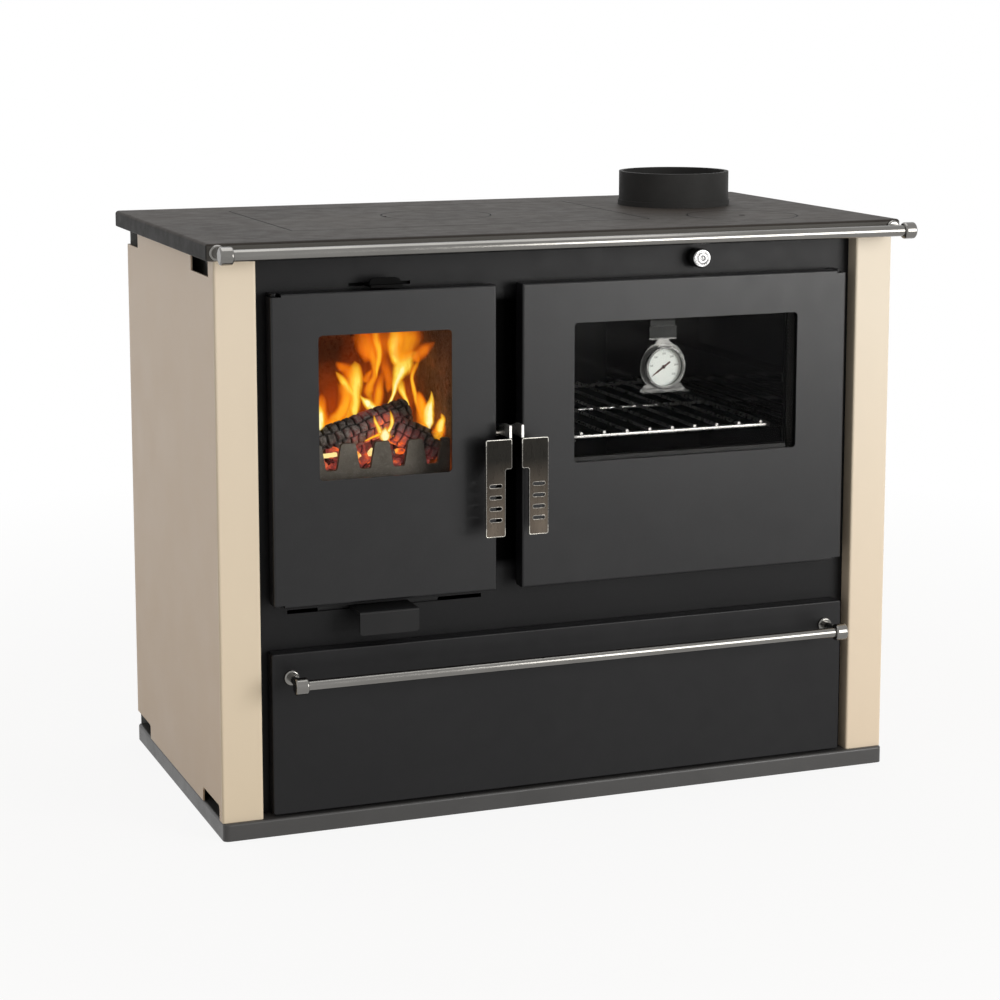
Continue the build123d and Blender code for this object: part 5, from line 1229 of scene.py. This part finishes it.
view = {
    "place": (-1.1713, -3.038, 1.0038),
    "yaw": -20.988,
    "pitch": 8.738,
    "lens": 90.161,
    "sensor": 36,
    "shift": -0.12,
}
cameraData = bpy.data.cameras.new("camera")
cameraData.lens = view["lens"]
cameraData.sensor_width = view["sensor"]
cameraData.shift_y = view["shift"]
camera = showObject("camera", cameraData)
camera.location = view["place"]
camera.rotation_euler = (math.radians(90 - view["pitch"]), 0, math.radians(view["yaw"]))
bpy.context.scene.camera = camera


# Light, floor and white surround

studio = {
    "surroundLevel": 0.36,
    "surroundColour": (1.0, 0.955, 0.9),
    "floorColour": (0.68, 0.645, 0.6),
    "floorSize": 40,
    "floorDrop": 0.0005,
    "floorLift": 0.9,      # how much of the floor is plain white to the camera, near the stove
    "whiteFrom": 0.8,       # metres from the stove where the floor starts to turn plain white
    "whiteTo": 2.0,
    "aim": (0, 0, 0.35),
    # Name, place, size, power and colour
    "lamps": [
        ("keyLamp", (1.75, -2.75, 0.98), 1.5, 66, (1.0, 0.99, 0.97)),
        ("topLamp", (0.0, 0.3, 2.6), 2.2, 26, (1.0, 1.0, 1.0)),
        ("sideLamp", (-2.6, -0.6, 1.2), 1.6, 2, (1.0, 0.99, 0.98)),
    ],
}


def seenDirectly(tree):
    # 1 for camera rays and for rays that metal and glass send on
    path = addNode(tree, "LightPath").outputs
    mirrored = combine(tree, "MAXIMUM", path["Is Glossy Ray"], path["Is Transmission Ray"])
    return combine(tree, "MAXIMUM", path["Is Camera Ray"], mirrored)


def makeSurround():
    world = bpy.data.worlds.new("surround")
    bpy.context.scene.world = world
    world.use_nodes = True
    tree = world.node_tree
    tree.nodes.clear()
    lit = addNode(tree, "Background", {
        "Color": (*studio["surroundColour"], 1), "Strength": studio["surroundLevel"],
    })
    white = addNode(tree, "Background", {"Color": (1, 1, 1, 1), "Strength": 1})
    mixed = mixShaders(tree, seenDirectly(tree), lit, white)
    addNode(tree, "OutputWorld", {"Surface": mixed})


def makeFloor():
    material, tree = newMaterial("floorWhite")
    place = objectPoint(tree)
    reach = vectorMath(tree, "LENGTH", "Value", place)
    fade = remap(tree, reach, studio["whiteFrom"], studio["whiteTo"], studio["floorLift"], 1)
    share = times(tree, fade, seenDirectly(tree))
    matt = addNode(tree, "BsdfPrincipled", {
        "Base Color": (*studio["floorColour"], 1),
        "Roughness": remap(tree, noiseAt(tree, place, 30, 3), 0, 1, 0.8, 0.9),
    })
    white = addNode(tree, "Emission", {"Color": (1, 1, 1, 1), "Strength": 1})
    outputTo(tree, mixShaders(tree, share, matt, white))
    bm = bmesh.new()
    bmesh.ops.create_grid(bm, x_segments=8, y_segments=8, size=studio["floorSize"] / 2)
    moveVerts(bm, (0, 0, -studio["floorDrop"]))
    floor = showObject("floor", meshFrom(bm, "floor", material))


def makeLamp(name, place, size, power, colour):
    data = bpy.data.lights.new(name, "AREA")
    data.shape = "SQUARE"
    data.size = size
    data.energy = power
    data.color = colour
    lamp = showObject(name, data)
    lamp.location = place
    lamp.rotation_mode = "QUATERNION"
    lamp.rotation_quaternion = (Vector(studio["aim"]) - Vector(place)).to_track_quat("-Z", "Y")


makeSurround()
makeFloor()
for lamp in studio["lamps"]:
    makeLamp(*lamp)
bpy.context.scene.view_settings.view_transform = "Standard"
print("camera, floor and lamps")
